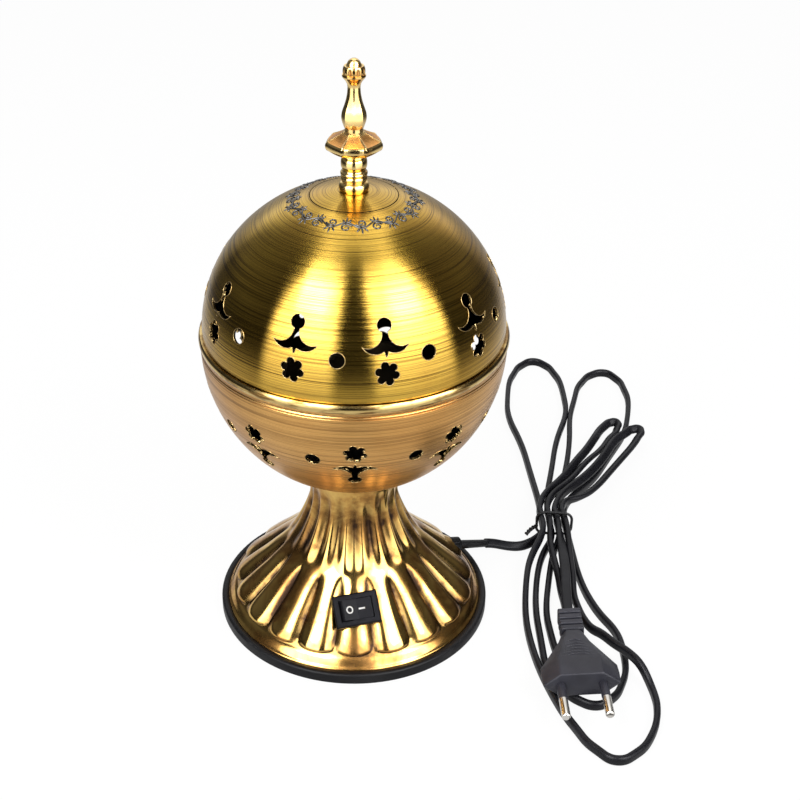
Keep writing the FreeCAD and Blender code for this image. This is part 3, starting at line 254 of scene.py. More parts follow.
class Shader(NodeKit):
    def __init__(self, name):
        self.material = bpy.data.materials.new(name)
        super().__init__(self.material)
        self.surface = self.add("BsdfPrincipled")
        self.add("OutputMaterial", Surface=self.surface.outputs[0])
        self.place = self.add("TexCoord").outputs["Object"]

    def set(self, **values):
        for name, value in values.items():
            self.feed(self.surface, name.replace("_", " "), value)

    def bump(self, height, strength, distance):
        self.set(Normal=self.add("Bump", Height=height, Strength=strength, Distance=distance).outputs[0])

    def patina(self):
        # the patina attribute; on the foot it also carries painted shade
        node = self.add("Attribute")
        node.attribute_name = "patina"
        return node.outputs["Fac"]


# the camera stands, looks and is framed as in the photo
view = {
    "place": (0.0, -0.565, 0.4568), "pitch": 0.5471, "lens": 65.29, "sensor": 36.0, "shift": 0.0575,
    "nearest": 0.01}
pickNothing()
bpy.ops.object.camera_add(location=view["place"], rotation=(math.pi / 2 - view["pitch"], 0, 0))
camera = bpy.context.object
camera.data.sensor_fit = "HORIZONTAL"
camera.data.sensor_width = view["sensor"]
camera.data.lens = view["lens"]
camera.data.shift_x = view["shift"]
camera.data.clip_start = view["nearest"]
bpy.context.scene.camera = camera
print("camera set")


# the cord's route in millimetres, as in the part's source, with more points at the ends of its loops
cord = {
    "length": 2183.0,
    "width": 5.0,
    "thickness": 3.0,
    "floorGap": 0.1,
    "layerGap": 1.5,
    "endStraight": 4.0,
    "lead": [(79.0, 33.0, 4.6), (86.0, 34.9, 2.9), (92.4, 38.6, 3.0), (96.9, 43.0, 3.6)],
    "tail": [(105.6, 31.0, 10.9), (105.1, 16.0, 11.5), (104.3, 1.0, 12.0), (102.8, -12.0, 12.5)],
    "grommetAngle": 113.7,
    "grommetReach": 55.8,
    "grommetHeight": 13.5,
    "grommetDip": 14.0,
    "sleeveEnd": 18.0,
    "plug": (101.6, -31.0, 12.6),
    "leadRoll": -55.0,
    "tailRoll": 90.0,
}
waist = {
    "x": 105.0,
    "y": 55.8,
    "behind": 3.5,
    "before": 8.0,
    "startBefore": 4.8,
    "columns": 4,
    "pitch": 4.0,
    "upperShift": -1.2,
    "rise": 1.5,
    "leanShare": 0.6,
    "reach": 173.0,
}
# each loop: side, lean, column and layer it leaves, column and layer it returns to, roll of the flat cord at
# its middle, then points as shares of the reach, along and across, with their layer where it isn't the floor
hankLoops = [
    (1, 2.6, 0, 0, 1, 0, 0, [
        (0.34, -0.061), (0.70, -0.107), (0.89, -0.078), (0.953, -0.050), (0.990, 0.0), (0.957, 0.046),
        (0.90, 0.070), (0.72, 0.092), (0.377, 0.030)]),
    (-1, 1.8, 1, 0, 3, 0, 0, [
        (0.206, -0.070), (0.48, -0.112), (0.72, -0.088), (0.772, -0.054), (0.797, -0.007), (0.767, 0.046),
        (0.71, 0.080), (0.56, 0.103), (0.376, 0.051)]),
    (1, 17.0, 3, 0, 2, 0, 0, [
        (0.34, 0.096), (0.64, 0.136), (0.845, 0.101), (0.915, 0.066), (0.952, 0.008), (0.917, -0.035),
        (0.86, -0.054), (0.70, -0.058), (0.385, -0.020)]),
    (-1, -2.2, 2, 0, 1, 1, 0, [
        (0.20, -0.020), (0.50, -0.048), (0.62, -0.030), (0.655, -0.019), (0.67, 0.0), (0.654, 0.017),
        (0.62, 0.026), (0.45, 0.007), (0.37, -0.003, 0.35), (0.28, -0.012, 0.9), (0.16, -0.021, 1)]),
    (1, 26.0, 1, 1, 0, 1, 40, [
        (0.25, -0.006, 1), (0.50, 0.016, 0.4), (0.60, 0.016), (0.629, 0.011), (0.640, -0.002),
        (0.629, -0.017), (0.60, -0.024, 0.1), (0.45, -0.025, 0.6), (0.25, -0.031, 1)]),
    (-1, 2.5, 0, 1, 3, 1, 0, [
        (0.26, -0.117, 0.6), (0.49, -0.149), (0.70, -0.132), (0.864, -0.088), (0.944, -0.051), (0.991, 0.002),
        (0.963, 0.062), (0.90, 0.110), (0.838, 0.134), (0.77, 0.143), (0.655, 0.105, 1), (0.58, 0.052, 1),
        (0.50, 0.012, 0.6), (0.41, -0.002, 0.6), (0.28, 0.008, 1)]),
    (1, 35.6, 3, 1, 2, 1, 50, [
        (0.156, 0.036, 1), (0.35, 0.034, 1), (0.53, 0.020, 1), (0.567, 0.013, 1), (0.582, -0.002, 1),
        (0.567, -0.018, 1), (0.53, -0.026, 1), (0.30, -0.014, 1)]),
]


def polar(radius, angle, height):
    turn = math.radians(angle)
    return Vector((radius * math.sin(turn), -radius * math.cos(turn), height))


def layerHeight(layer):
    return cord["width"] / 2 + cord["floorGap"] + layer * (cord["width"] + cord["layerGap"])


def waistPoint(column, layer, side):
    reach = waist["behind"] if side > 0 else waist["before"]
    across = (column - (waist["columns"] - 1) / 2) * waist["pitch"] + layer * waist["upperShift"]
    return Vector((waist["x"] + across, waist["y"] + side * reach, layerHeight(layer) + waist["rise"]))


def waistHeading(side, lean):
    turn = math.radians(lean * waist["leanShare"])
    return Vector((math.sin(turn), side * math.cos(turn), 0))


def loopPoint(side, lean, along, across, layer=0):
    turn = math.radians(lean)
    forward = Vector((math.sin(turn), side * math.cos(turn), 0))
    aside = Vector((math.cos(turn), -side * math.sin(turn), 0))
    start = Vector((waist["x"], waist["y"], layerHeight(layer)))
    return start + (forward * along + aside * across) * waist["reach"]


def hankRoute():
    first = waistPoint(hankLoops[0][2], hankLoops[0][3], -1)
    points = [Vector((first.x, waist["y"] - waist["startBefore"], first.z))]
    headings = [Vector((0, 1, 0))]
    rolls = [0]
    for side, lean, leave, leaveLayer, back, backLayer, roll, places in hankLoops:
        start = len(points)
        points.append(waistPoint(leave, leaveLayer, side))
        points += [loopPoint(side, lean, *place) for place in places]
        points.append(waistPoint(back, backLayer, side))
        rolls += [0] + [roll] * len(places) + [0]
        headings.append(waistHeading(side, lean))
        for k in range(start + 1, len(points) - 1):
            before = points[k] - points[k - 1]
            after = points[k + 1] - points[k]
            heading = before / before.length_squared + after / after.length_squared
            headings.append(Vector((heading.x, heading.y, 0)).normalized())
        headings.append(-waistHeading(side, lean))
    points.append(waistPoint(back, backLayer, -1))
    headings.append(Vector((0, -1, 0)))
    rolls.append(0)
    return points, headings, rolls


def bendPoints(start, startHeading, end, endHeading):
    # the two control points of the smooth bend between two points with a heading at each
    across = end - start
    along = across.dot(startHeading + endHeading)
    spread = 2 * (1 - startHeading.dot(endHeading))
    if spread < 0.000001:
        reach = across.dot(across) / (4 * across.dot(endHeading))
    else:
        reach = (math.sqrt(along * along + spread * across.dot(across)) - along) / spread
    controls = [start + startHeading * reach, end - endHeading * reach]
    return controls if (controls[1] - controls[0]).length > 0.01 else controls[:1]


grommetOut = polar(math.cos(math.radians(cord["grommetDip"])), cord["grommetAngle"],
                   -math.sin(math.radians(cord["grommetDip"])))
grommetStart = polar(cord["grommetReach"], cord["grommetAngle"], cord["grommetHeight"])
sleeveEnd = grommetStart + grommetOut * cord["sleeveEnd"]
plugStart = Vector(cord["plug"])
hankPoints, hankHeadings, hankRolls = hankRoute()
endStraight = Vector((0, cord["endStraight"], 0))
cordPoints = [(sleeveEnd, cord["leadRoll"]), (sleeveEnd + grommetOut * cord["endStraight"], cord["leadRoll"])]
for k, point in enumerate(cord["lead"]):
    cordPoints.append((Vector(point), cord["leadRoll"] * (1 - k / len(cord["lead"]))))
cordPoints.append((hankPoints[0] - endStraight, 0))
for k in range(len(hankPoints) - 1):
    controls = bendPoints(hankPoints[k], hankHeadings[k], hankPoints[k + 1], hankHeadings[k + 1])
    cordPoints += list(zip(controls, (hankRolls[k], hankRolls[k + 1])))
cordPoints.append((hankPoints[-1] - endStraight, 0))
for k, point in enumerate(cord["tail"]):
    cordPoints.append((Vector(point), cord["tailRoll"] * min(1.0, (k + 1) / 2)))
cordPoints += [(plugStart + endStraight, cord["tailRoll"]), (plugStart, cord["tailRoll"])]

cordCurve = roundCurve("mainsCord", cord["thickness"] / 2, 5)
cordCurve.twist_mode = "Z_UP"
cordCurve.extrude = (cord["width"] - cord["thickness"]) / 2 * mm
for spot, (_, roll) in zip(smoothLine(cordCurve, cordPoints, 8), cordPoints):
    spot.tilt = math.radians(roll)
mainsCord = newPiece("mainsCord", cordCurve)

sheath = Shader("cordSheath")
flow = sheath.noise(sheath.place, 260.0, 4.0, 0.6)
haze = sheath.noise(sheath.place, 38.0, 2.0)
sheath.set(Base_Color=sheath.mix(sheath.ramp(haze, 0.35, 0.7), (0.005, 0.005, 0.007), (0.012, 0.012, 0.015)),
           Roughness=sheath.ramp(flow, 0.2, 0.8, 0.32, 0.46), Specular_IOR_Level=0.18)
sheath.bump(flow, 0.12, 0.0002)
cordCurve.materials.append(sheath.material)
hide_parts("cord_lead", "cord_hank", "cord_tail")
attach(mainsCord, "base")
print("cord laid:", len(cordPoints), "points")


def turnedBrass(name, finish):
    # spun sheet: fine turned lines round the axis, darker where the old patina stays
    brass = Shader(name)
    x, y, z = brass.parts(brass.place)
    radius = brass.math("SQRT", brass.plus(brass.times(x, x), brass.times(y, y)))
    slope = brass.math("ARCTAN2", brass.math("SUBTRACT", z, finish["centre"]), radius)

    def turned(across, along, detail, roughness):
        # noise drawn out round the axis
        spot = brass.vector(brass.times(x, across), brass.times(y, across), brass.times(slope, along))
        return brass.noise(spot, 1.0, detail, roughness)

    lines = turned(3.0, finish["lines"], 4.0, 0.62)
    bands = turned(9.0, finish["lines"] / 2, 3.0, 0.6)
    blotches = brass.noise(brass.place, finish["blotches"], 4.0, 0.6, 0.3)
    dark = brass.plus(brass.times(brass.ramp(lines, 0.49, 0.63), finish["lineDark"]),
                      brass.times(brass.ramp(bands, 0.50, 0.64), finish["bandDark"]))
    metal = brass.mix(brass.ramp(blotches, 0.35, 0.70), finish["bright"], finish["warm"])
    roughness = brass.plus(brass.ramp(lines, 0.35, 0.75, finish["smooth"], finish["rough"]),
                           brass.ramp(blotches, 0.4, 0.8, 0.0, 0.06))
    brass.set(Base_Color=brass.mix(dark, metal, finish["patina"]), Metallic=1.0, Roughness=roughness,
              Anisotropic=finish["brushed"], Anisotropic_Rotation=0.25,
              Tangent=brass.vector(brass.times(y, -1.0), x, 0.0))
    brass.bump(lines, finish["relief"], 0.00012)
    return brass.material


lidBrass = turnedBrass("lidBrass", {
    "centre": 0.1513, "lines": 230.0, "blotches": 14.0, "lineDark": 0.62, "bandDark": 0.50,
    "bright": (0.62, 0.40, 0.068), "warm": (0.48, 0.27, 0.045), "patina": (0.050, 0.020, 0.004),
    "smooth": 0.13, "rough": 0.24, "brushed": 1.0, "relief": 0.22})
bowlBrass = turnedBrass("bowlBrass", {
    "centre": 0.1465, "lines": 150.0, "blotches": 22.0, "lineDark": 0.46, "bandDark": 0.32,
    "bright": (0.66, 0.37, 0.12), "warm": (0.56, 0.29, 0.085), "patina": (0.12, 0.05, 0.015),
    "smooth": 0.24, "rough": 0.42, "brushed": 0.70, "relief": 0.25})

# painted shade: near black for the inner faces of the pierced shells, so the cut-outs read dark
insideShadeBrass = Shader("paintedShadeInside")
insideMottle = insideShadeBrass.noise(insideShadeBrass.place, 70.0, 4.0, 0.6)
insideShadeBrass.set(Base_Color=insideShadeBrass.mix(insideShadeBrass.ramp(insideMottle, 0.3, 0.7), (0.003, 0.0025, 0.002),
                                       (0.009, 0.006, 0.004)),
              Roughness=insideShadeBrass.ramp(insideMottle, 0.2, 0.8, 0.80, 0.95), Specular_IOR_Level=0.05)
# paler bare metal for the cut-out walls and their lips, lighter than the lined dome: partly a painted
# highlight where the rims catch light
cutEdgeHighlightBrass = Shader("cutEdgeAndHighlight")
nicks = cutEdgeHighlightBrass.noise(cutEdgeHighlightBrass.place, 900.0, 3.0, 0.6)
cutEdgeHighlightBrass.set(Base_Color=cutEdgeHighlightBrass.mix(cutEdgeHighlightBrass.ramp(nicks, 0.4, 0.7), (0.50, 0.36, 0.16), (0.20, 0.12, 0.04)),
             Metallic=1.0, Roughness=cutEdgeHighlightBrass.ramp(nicks, 0.3, 0.7, 0.22, 0.38))
beadBrass = Shader("rolledBead")
ringwise = beadBrass.add("Mapping", beadBrass.place, Scale=(1.0, 1.0, 6.0)).outputs[0]
rubs = beadBrass.noise(ringwise, 90.0, 4.0, 0.6)
beadBrass.set(Base_Color=beadBrass.mix(beadBrass.ramp(rubs, 0.42, 0.66), (0.66, 0.48, 0.19),
                                       (0.22, 0.12, 0.035)),
              Metallic=1.0, Roughness=beadBrass.ramp(rubs, 0.3, 0.7, 0.10, 0.24))

# heights and radii of each shell in millimetres; its lips, and what lies above beadLow, have their own finish
piercedShell = {
    "lid_dome": {"centre": 151.3, "across": 67.0, "along": 65.0, "cutsLow": 154.0, "cutsHigh": 197.0,
                 "formLow": 151.8, "formHigh": 217.0, "finish": lidBrass, "lip": 0.15, "beadLow": 300.0},
    "bowl": {"centre": 146.5, "across": 68.0, "along": 68.1, "cutsLow": 88.0, "cutsHigh": 143.5,
             "formLow": 79.0, "formHigh": 144.1, "finish": bowlBrass, "lip": 0.11, "beadLow": 146.9},
}
# how squarely a face of the smooth form looks out or in, and how little the wall of a cut-out does
facingShare = {"form": 0.94, "wall": 0.4}


def shellNormal(place, shell):
    # the way the smooth shell faces at a place on it
    drop = (shell["across"] / shell["along"]) ** 2
    return Vector((place.x, place.y, (place.z - shell["centre"] * mm) * drop)).normalized()


def finishShell(nodeName):
    # smooth dome, its inside painted near black as shade, and paler metal on the walls of the cut-outs and a
    # fine lip round each: bare cut metal with a painted highlight
    shell = piercedShell[nodeName]
    piece = standIn(cleanCopy(nodeName, 30), nodeName, shell["finish"])
    mesh = piece.data
    inside, cut, bead = 1, 2, 3
    for brass in (insideShadeBrass, cutEdgeHighlightBrass, beadBrass):
        mesh.materials.append(brass.material)
    corners = [corner.vector.copy() for corner in mesh.corner_normals]
    outerFaces = set()
    wallFaces = set()
    for face in mesh.polygons:
        facing = face.normal.dot(shellNormal(face.center, shell))
        level = face.center.z / mm
        if abs(facing) > facingShare["form"] and shell["formLow"] < level < shell["formHigh"]:
            for loop in face.loop_indices:
                spot = mesh.vertices[mesh.loops[loop].vertex_index].co
                corners[loop] = shellNormal(spot, shell) * (1 if facing > 0 else -1)
            if facing > 0:
                outerFaces.add(face.index)
        if level > shell["beadLow"]:
            face.material_index = bead
        # faces looking inwards get the near-black painted shade
        elif facing < -facingShare["wall"]:
            face.material_index = inside
        # the walls of the cut-outs get the paler edge metal, partly a painted highlight
        elif abs(facing) < facingShare["wall"] and shell["cutsLow"] < level < shell["cutsHigh"]:
            face.material_index = cut
            wallFaces.add(face.index)
    sides = {}
    for face in mesh.polygons:
        if face.index in outerFaces or face.index in wallFaces:
            for key in face.edge_keys:
                sides.setdefault(key, []).append(face.index)
    lipKeys = [key for key, faces in sides.items()
               if len(faces) == 2 and (faces[0] in wallFaces) != (faces[1] in wallFaces)]
    mesh.normals_split_custom_set(corners)
    lipMesh = bpy.data.meshes.new(nodeName + "Lips")
    spots = sorted({index for key in lipKeys for index in key})
    order = {index: k for k, index in enumerate(spots)}
    lipMesh.from_pydata([mesh.vertices[index].co for index in spots],
                        [(order[first], order[second]) for first, second in lipKeys], [])
    lips = newPiece(nodeName + "Lips", lipMesh)
    pickOnly(lips)
    bpy.ops.object.convert(target="CURVE")
    lips.data.bevel_depth = shell["lip"] * mm
    lips.data.bevel_resolution = 1
    bpy.ops.object.convert(target="MESH")
    bpy.ops.object.shade_smooth()
    addOn(lips, nodeName + "Lips", nodeName, cutEdgeHighlightBrass.material)
    print(nodeName, "finished:", len(lipKeys), "lip edges,", len(lips.data.polygons), "lip faces")


footShape = {
    "lobes": 19, "columns": 16, "rowsPerStep": 5, "low": 2.0, "high": 78.4, "radius": 61.7, "wall": 1.5,
    "tubeHole": 5.2, "webRows": 4, "bulgeGain": 1.08, "bulgePower": 2.6,
    # how many rows of the section the lobes' ends are scalloped, up to which row, and how it fades and curves
    "scallop": 1.5, "scallopTop": 9.0, "scallopFade": 3, "scallopPower": 2.4,
    # height, crease radius and bulge, as shares of the height and the radius
    "section": [
        (0.0, 1.0, 0.0), (0.060, 1.0, 0.0), (0.078, 0.980, 0.0), (0.108, 0.950, 0.0), (0.124, 0.926, 0.003),
        (0.138, 0.910, 0.030), (0.162, 0.880, 0.045), (0.200, 0.830, 0.050), (0.262, 0.746, 0.051),
        (0.325, 0.664, 0.046), (0.385, 0.596, 0.035), (0.440, 0.541, 0.013), (0.490, 0.499, -0.013),
        (0.550, 0.456, -0.027), (0.630, 0.408, -0.032), (0.720, 0.364, -0.030), (0.800, 0.340, -0.021),
        (0.880, 0.333, -0.009), (0.940, 0.336, 0.0), (1.0, 0.341, 0.0)],
}
# where patina and painted shade make it dark: the creases between lobes, a line round each lobe, the channels
# of the neck
footPatinaAndShade = {
    "creaseFrom": 0.60, "creaseWide": 0.34, "creaseBulge": 0.02, "lineLow": 3.6, "lineHigh": 7.5,
    "lineRise": 0.35, "channelDeep": 0.028, "channelDark": 0.75}
footFinish = {
    "bright": (0.72, 0.47, 0.14), "warm": (0.46, 0.23, 0.06), "patina": (0.036, 0.020, 0.012),
    "smooth": 0.10, "rough": 0.30}
switchSeat = {
    "place": (1.139218, -43.504968, 25.869766), "right": (0.982788, 0.146485, 0.112562),
    "up": (-0.183873, 0.716756, 0.672645), "out": (0.017853, -0.681765, 0.731354),
    "bezel": (21.3, 15.3), "panel": (18.2, 12.2), "sunk": 0.03, "fadeEnd": 1.6, "fadeWide": 1.3}
# how far from the grommet the foot's points move, what is cut out of its middle, and the edge left
grommetHole = {"near": 9.0, "reach": 5.6, "cut": 3.0, "edge": 4.15}


def throughPoints(points, share, column):
    # the smooth curve through one column of some points, so many steps along them
    first = min(max(int(share), 0), len(points) - 2)
    part = share - first
    before, start, end, after = [
        points[min(max(first + step, 0), len(points) - 1)][column] for step in (-1, 0, 1, 2)]
    square, cube = part ** 2, part ** 3
    return ((2 * cube - 3 * square + 1) * start + (cube - 2 * square + part) * (end - before) / 2
            + (3 * square - 2 * cube) * end + (cube - square) * (after - start) / 2)


def footSpot(step, turnShare):
    # one place on the foot's outside, and how dark its patina and painted shade are there
    section = footShape["section"]
    across = ((turnShare * footShape["lobes"] + 0.5) % 1.0) * 2 - 1
    away = abs(across)
    below = max(footShape["scallopTop"] - step, 0) / footShape["scallopFade"]
    lift = footShape["scallop"] * away ** footShape["scallopPower"] * min(1.0, below)
    bulge = throughPoints(section, max(step - lift, 0), 2)
    if bulge > 0:
        relief = bulge * footShape["bulgeGain"] * (1 - away ** footShape["bulgePower"])
    else:
        relief = bulge * (0.5 + 0.5 * math.cos(math.pi * across))
    proud = relief * footShape["radius"]
    radius = footShape["radius"] * throughPoints(section, step, 1) + proud
    height = max(footShape["low"], throughPoints(section, step, 0) * footShape["high"])
    # crease, line and channel darkening: patina with painted shade in the hollows
    crease = max(0.0, (away - footPatinaAndShade["creaseFrom"]) / footPatinaAndShade["creaseWide"])
    crease *= min(1.0, max(bulge, 0) / footPatinaAndShade["creaseBulge"])
    line = 0.0
    if footPatinaAndShade["lineLow"] < step < footPatinaAndShade["lineHigh"]:
        line = math.exp(-((proud - footPatinaAndShade["lineRise"]) / footPatinaAndShade["lineRise"]) ** 2)
    channel = min(1.0, max(-relief, 0) / footPatinaAndShade["channelDeep"])
    dark = min(1.0, max(crease, line, footPatinaAndShade["channelDark"] * channel))
    return polar(radius, turnShare * 360, height) * mm, dark


def buildFoot():
    columns = footShape["lobes"] * footShape["columns"]
    steps = (len(footShape["section"]) - 1) * footShape["rowsPerStep"]
    edge = footShape["radius"] * footShape["section"][-1][1]

    def placeAt(row, turnShare):
        if row <= steps:
            return footSpot(row / footShape["rowsPerStep"], turnShare)
        # the web at the top, in to the hole for the threaded tube
        reach = edge + (footShape["tubeHole"] - edge) * (row - steps) / footShape["webRows"]
        return polar(reach, turnShare * 360, footShape["high"]) * mm, 0.0

    piece = wrappedGrid("footShell", columns, steps + footShape["webRows"], placeAt)
    mesh = piece.data
    seat = Vector(switchSeat["place"]) * mm
    out = Vector(switchSeat["out"])
    grommetPlace = grommetStart * mm
    cutAway = set()
    for spot in mesh.vertices:
        offset = spot.co - seat
        aside, rise, proud = [offset.dot(Vector(switchSeat[way])) / mm for way in ("right", "up", "out")]
        over = max(abs(far) - size / 2 for far, size in zip((aside, rise), switchSeat["bezel"]))
        if over < switchSeat["fadeEnd"] and spot.co.y < 0:
            # the flat seat under the bezel, fading out round it, and the panel hole in it
            if proud > -switchSeat["sunk"]:
                share = min(1.0, (switchSeat["fadeEnd"] - over) / switchSeat["fadeWide"])
                spot.co -= out * (proud + switchSeat["sunk"]) * share * share * (3 - 2 * share) * mm
            if abs(aside) < switchSeat["panel"][0] / 2 and abs(rise) < switchSeat["panel"][1] / 2:
                cutAway.add(spot.index)
        offset = spot.co - grommetPlace
        fromAxis = offset - grommetOut * offset.dot(grommetOut)
        away = fromAxis.length / mm
        if offset.length < grommetHole["near"] * mm and away < grommetHole["reach"]:
            # the round hole for the grommet
            if away < grommetHole["cut"]:
                cutAway.add(spot.index)
            else:
                share = (away - grommetHole["cut"]) / (grommetHole["reach"] - grommetHole["cut"])
                wanted = grommetHole["edge"] + (grommetHole["reach"] - grommetHole["edge"]) * share
                spot.co += fromAxis.normalized() * (wanted - away) * mm
    pickOnly(piece)
    bpy.ops.object.mode_set(mode="EDIT")
    bpy.ops.mesh.select_mode(type="VERT")
    bpy.ops.mesh.select_all(action="DESELECT")
    bpy.ops.object.mode_set(mode="OBJECT")
    for index in cutAway:
        mesh.vertices[index].select = True
    bpy.ops.object.mode_set(mode="EDIT")
    bpy.ops.mesh.delete(type="VERT")
    closeForm(piece)
    wall = piece.modifiers.new("wall", "SOLIDIFY")
    wall.thickness = footShape["wall"] * mm
    wall.offset = -1.0
    applyAll(piece)
    bpy.ops.object.shade_smooth_by_angle(angle=math.radians(34))
    print("foot built:", len(mesh.polygons), "faces")
    return piece


footBrass = Shader("footBrass")
# the patina attribute: patina with painted shade in the foot's creases, lobe outlines and neck channels
patina = footBrass.patina()
blotches = footBrass.noise(footBrass.place, 60.0, 5.0, 0.6, 0.4)
fine = footBrass.noise(footBrass.place, 420.0, 3.0, 0.6)
upright = footBrass.add("Mapping", footBrass.place, Scale=(1.0, 1.0, 0.25)).outputs[0]
streaks = footBrass.noise(upright, 240.0, 3.0, 0.6)
dark = footBrass.plus(footBrass.times(patina, footBrass.ramp(streaks, 0.25, 0.65, 0.70, 1.0)),
                      footBrass.times(footBrass.ramp(blotches, 0.47, 0.74), 0.62))
metal = footBrass.mix(footBrass.ramp(blotches, 0.35, 0.62), footFinish["bright"], footFinish["warm"])
roughness = footBrass.ramp(blotches, 0.35, 0.8, footFinish["smooth"], footFinish["rough"])
footBrass.set(Base_Color=footBrass.mix(dark, metal, footFinish["patina"]), Metallic=1.0,
              Roughness=footBrass.plus(roughness, footBrass.times(patina, 0.14)))
footBrass.bump(fine, 0.08, 0.0002)

finial = {
    "seat": 215.94, "ribs": 7, "columnsPerRib": 24, "rib": 0.36, "ribWidth": 0.11, "rimRib": 0.6,
    "dish": 0.055, "sag": 0.35, "facets": 8, "facetDepth": 1.1, "flutes": 8, "flute": 0.55, "fluteWidth": 0.3,
    # each run: its form, number of rows, then height and radius of the points that it passes smoothly
    "runs": [
        ("round", 2, [(7.2, 0.0), (7.2, 2.1)]),
        ("round", 2, [(7.2, 2.1), (0.0, 2.1)]),
        ("round", 2, [(0.0, 2.1), (0.0, 5.9)]),
        ("round", 8, [(0.0, 5.9), (1.0, 6.4), (2.6, 6.4), (3.6, 5.9)]),
        ("round", 4, [(3.6, 5.9), (4.1, 5.1), (4.5, 5.1)]),
        ("round", 7, [(4.5, 5.1), (5.0, 5.65), (6.0, 5.65), (6.6, 5.3)]),
        ("round", 7, [(6.6, 5.3), (7.2, 5.7), (8.1, 5.7), (8.7, 5.1)]),
        ("round", 3, [(8.7, 5.1), (9.0, 4.85), (9.4, 4.8)]),
        ("round", 10, [(9.4, 4.8), (10.4, 5.4), (12.0, 5.55), (13.6, 5.4), (14.6, 4.8)]),
        ("round", 3, [(14.6, 4.8), (14.9, 4.5), (15.2, 4.6)]),
        ("rim", 22, [(15.2, 4.6), (15.9, 6.2), (17.0, 8.9), (18.0, 10.8), (18.9, 11.7), (20.2, 12.0),
                     (21.4, 11.8), (22.0, 11.2)]),
        ("panel", 14, [(22.0, 11.2), (22.3, 10.6), (23.3, 8.4), (24.4, 6.3), (25.5, 4.5)]),
        ("round", 3, [(25.5, 4.5), (26.0, 3.9)]),
        ("round", 3, [(26.0, 3.9), (27.6, 3.85)]),
        ("belly", 36, [(27.6, 4.1), (28.6, 4.5), (30.2, 5.0), (32.0, 5.2), (34.0, 4.95), (36.0, 4.3),
                       (38.0, 3.65), (40.0, 3.15), (42.0, 2.8), (44.4, 2.65)]),
        ("round", 10, [(44.4, 2.65), (46.0, 2.9), (47.4, 3.7), (48.5, 4.6), (49.1, 4.9)]),
        ("round", 2, [(49.1, 4.9), (49.9, 4.8)]),
        ("crown", 14, [(49.9, 4.4), (51.2, 4.6), (52.6, 4.4), (53.4, 4.0)]),
        ("round", 10, [(53.4, 3.4), (54.0, 2.9), (54.8, 2.6), (55.6, 2.0), (56.2, 1.1), (56.4, 0.0)])],
}


def finialRows():
    rows = []
    for form, count, points in finial["runs"]:
        for k in range(count + 1):
            share = k / count * (len(points) - 1)
            height, radius = [throughPoints(points, share, column) for column in (0, 1)]
            rows.append((form, k / count, height, max(0.0, radius)))
    return rows


def buildFinial():
    rows = finialRows()

    def placeAt(row, turnShare):
        form, share, height, radius = rows[row]
        across = abs(((turnShare * finial["ribs"] + 0.5) % 1.0) * 2 - 1)
        tone = 0.0
        if form in ("rim", "panel"):
            # the parasol: ribs, with its panels dished between them
            grown = min(1.0, share * 3) if form == "rim" else 1.0 - 0.4 * share
            ridge = math.exp(-((1 - across) / finial["ribWidth"]) ** 2) * grown
            radius *= 1 - finial["dish"] * (1 - across ** 2) * grown
            if form == "panel":
                sag = finial["sag"] * (1 - across ** 2) * math.sin(math.pi * min(share * 1.2, 1))
                height += finial["rib"] * ridge - sag
                tone = (1 - ridge) * min(1.0, share * 8) * min(1.0, (1 - share) * 6)
            else:
                radius += finial["rib"] * finial["rimRib"] * ridge
        if form == "belly":
            facet = ((turnShare * finial["facets"]) % 1.0 - 0.5) * 2 * math.pi / finial["facets"]
            flat = math.cos(math.pi / finial["facets"]) / math.cos(facet)
            radius *= 1 + (flat - 1) * math.sin(math.pi * min(1.0, share * 1.25)) * finial["facetDepth"]
        if form == "crown":
            groove = ((turnShare * finial["flutes"]) % 1.0 - 0.5) * 2
            tone = math.exp(-(groove / finial["fluteWidth"]) ** 2)
            tone *= math.sin(math.pi * min(1.0, 0.15 + share))
            radius -= finial["flute"] * tone
        return polar(radius, turnShare * 360, finial["seat"] + height) * mm, tone

    piece = wrappedGrid("finialTurned", finial["ribs"] * finial["columnsPerRib"], len(rows) - 1, placeAt)
    closeForm(piece)
    bpy.ops.object.shade_smooth_by_angle(angle=math.radians(35))
    print("finial built:", len(piece.data.polygons), "faces")
    return piece


finialBrass = Shader("finialBrass")
patina = finialBrass.patina()
specks = finialBrass.noise(finialBrass.place, 320.0, 4.0, 0.65)
wear = finialBrass.noise(finialBrass.place, 110.0, 3.0)
metal = finialBrass.mix(finialBrass.ramp(wear, 0.48, 0.72), (0.90, 0.66, 0.27), (0.60, 0.34, 0.10))
finialBrass.set(Base_Color=finialBrass.mix(patina, metal, (0.66, 0.32, 0.09)), Metallic=1.0,
                Roughness=finialBrass.plus(finialBrass.ramp(specks, 0.3, 0.75, 0.12, 0.26),
                                           finialBrass.times(patina, 0.16)))
finialBrass.bump(specks, 0.30, 0.0003)

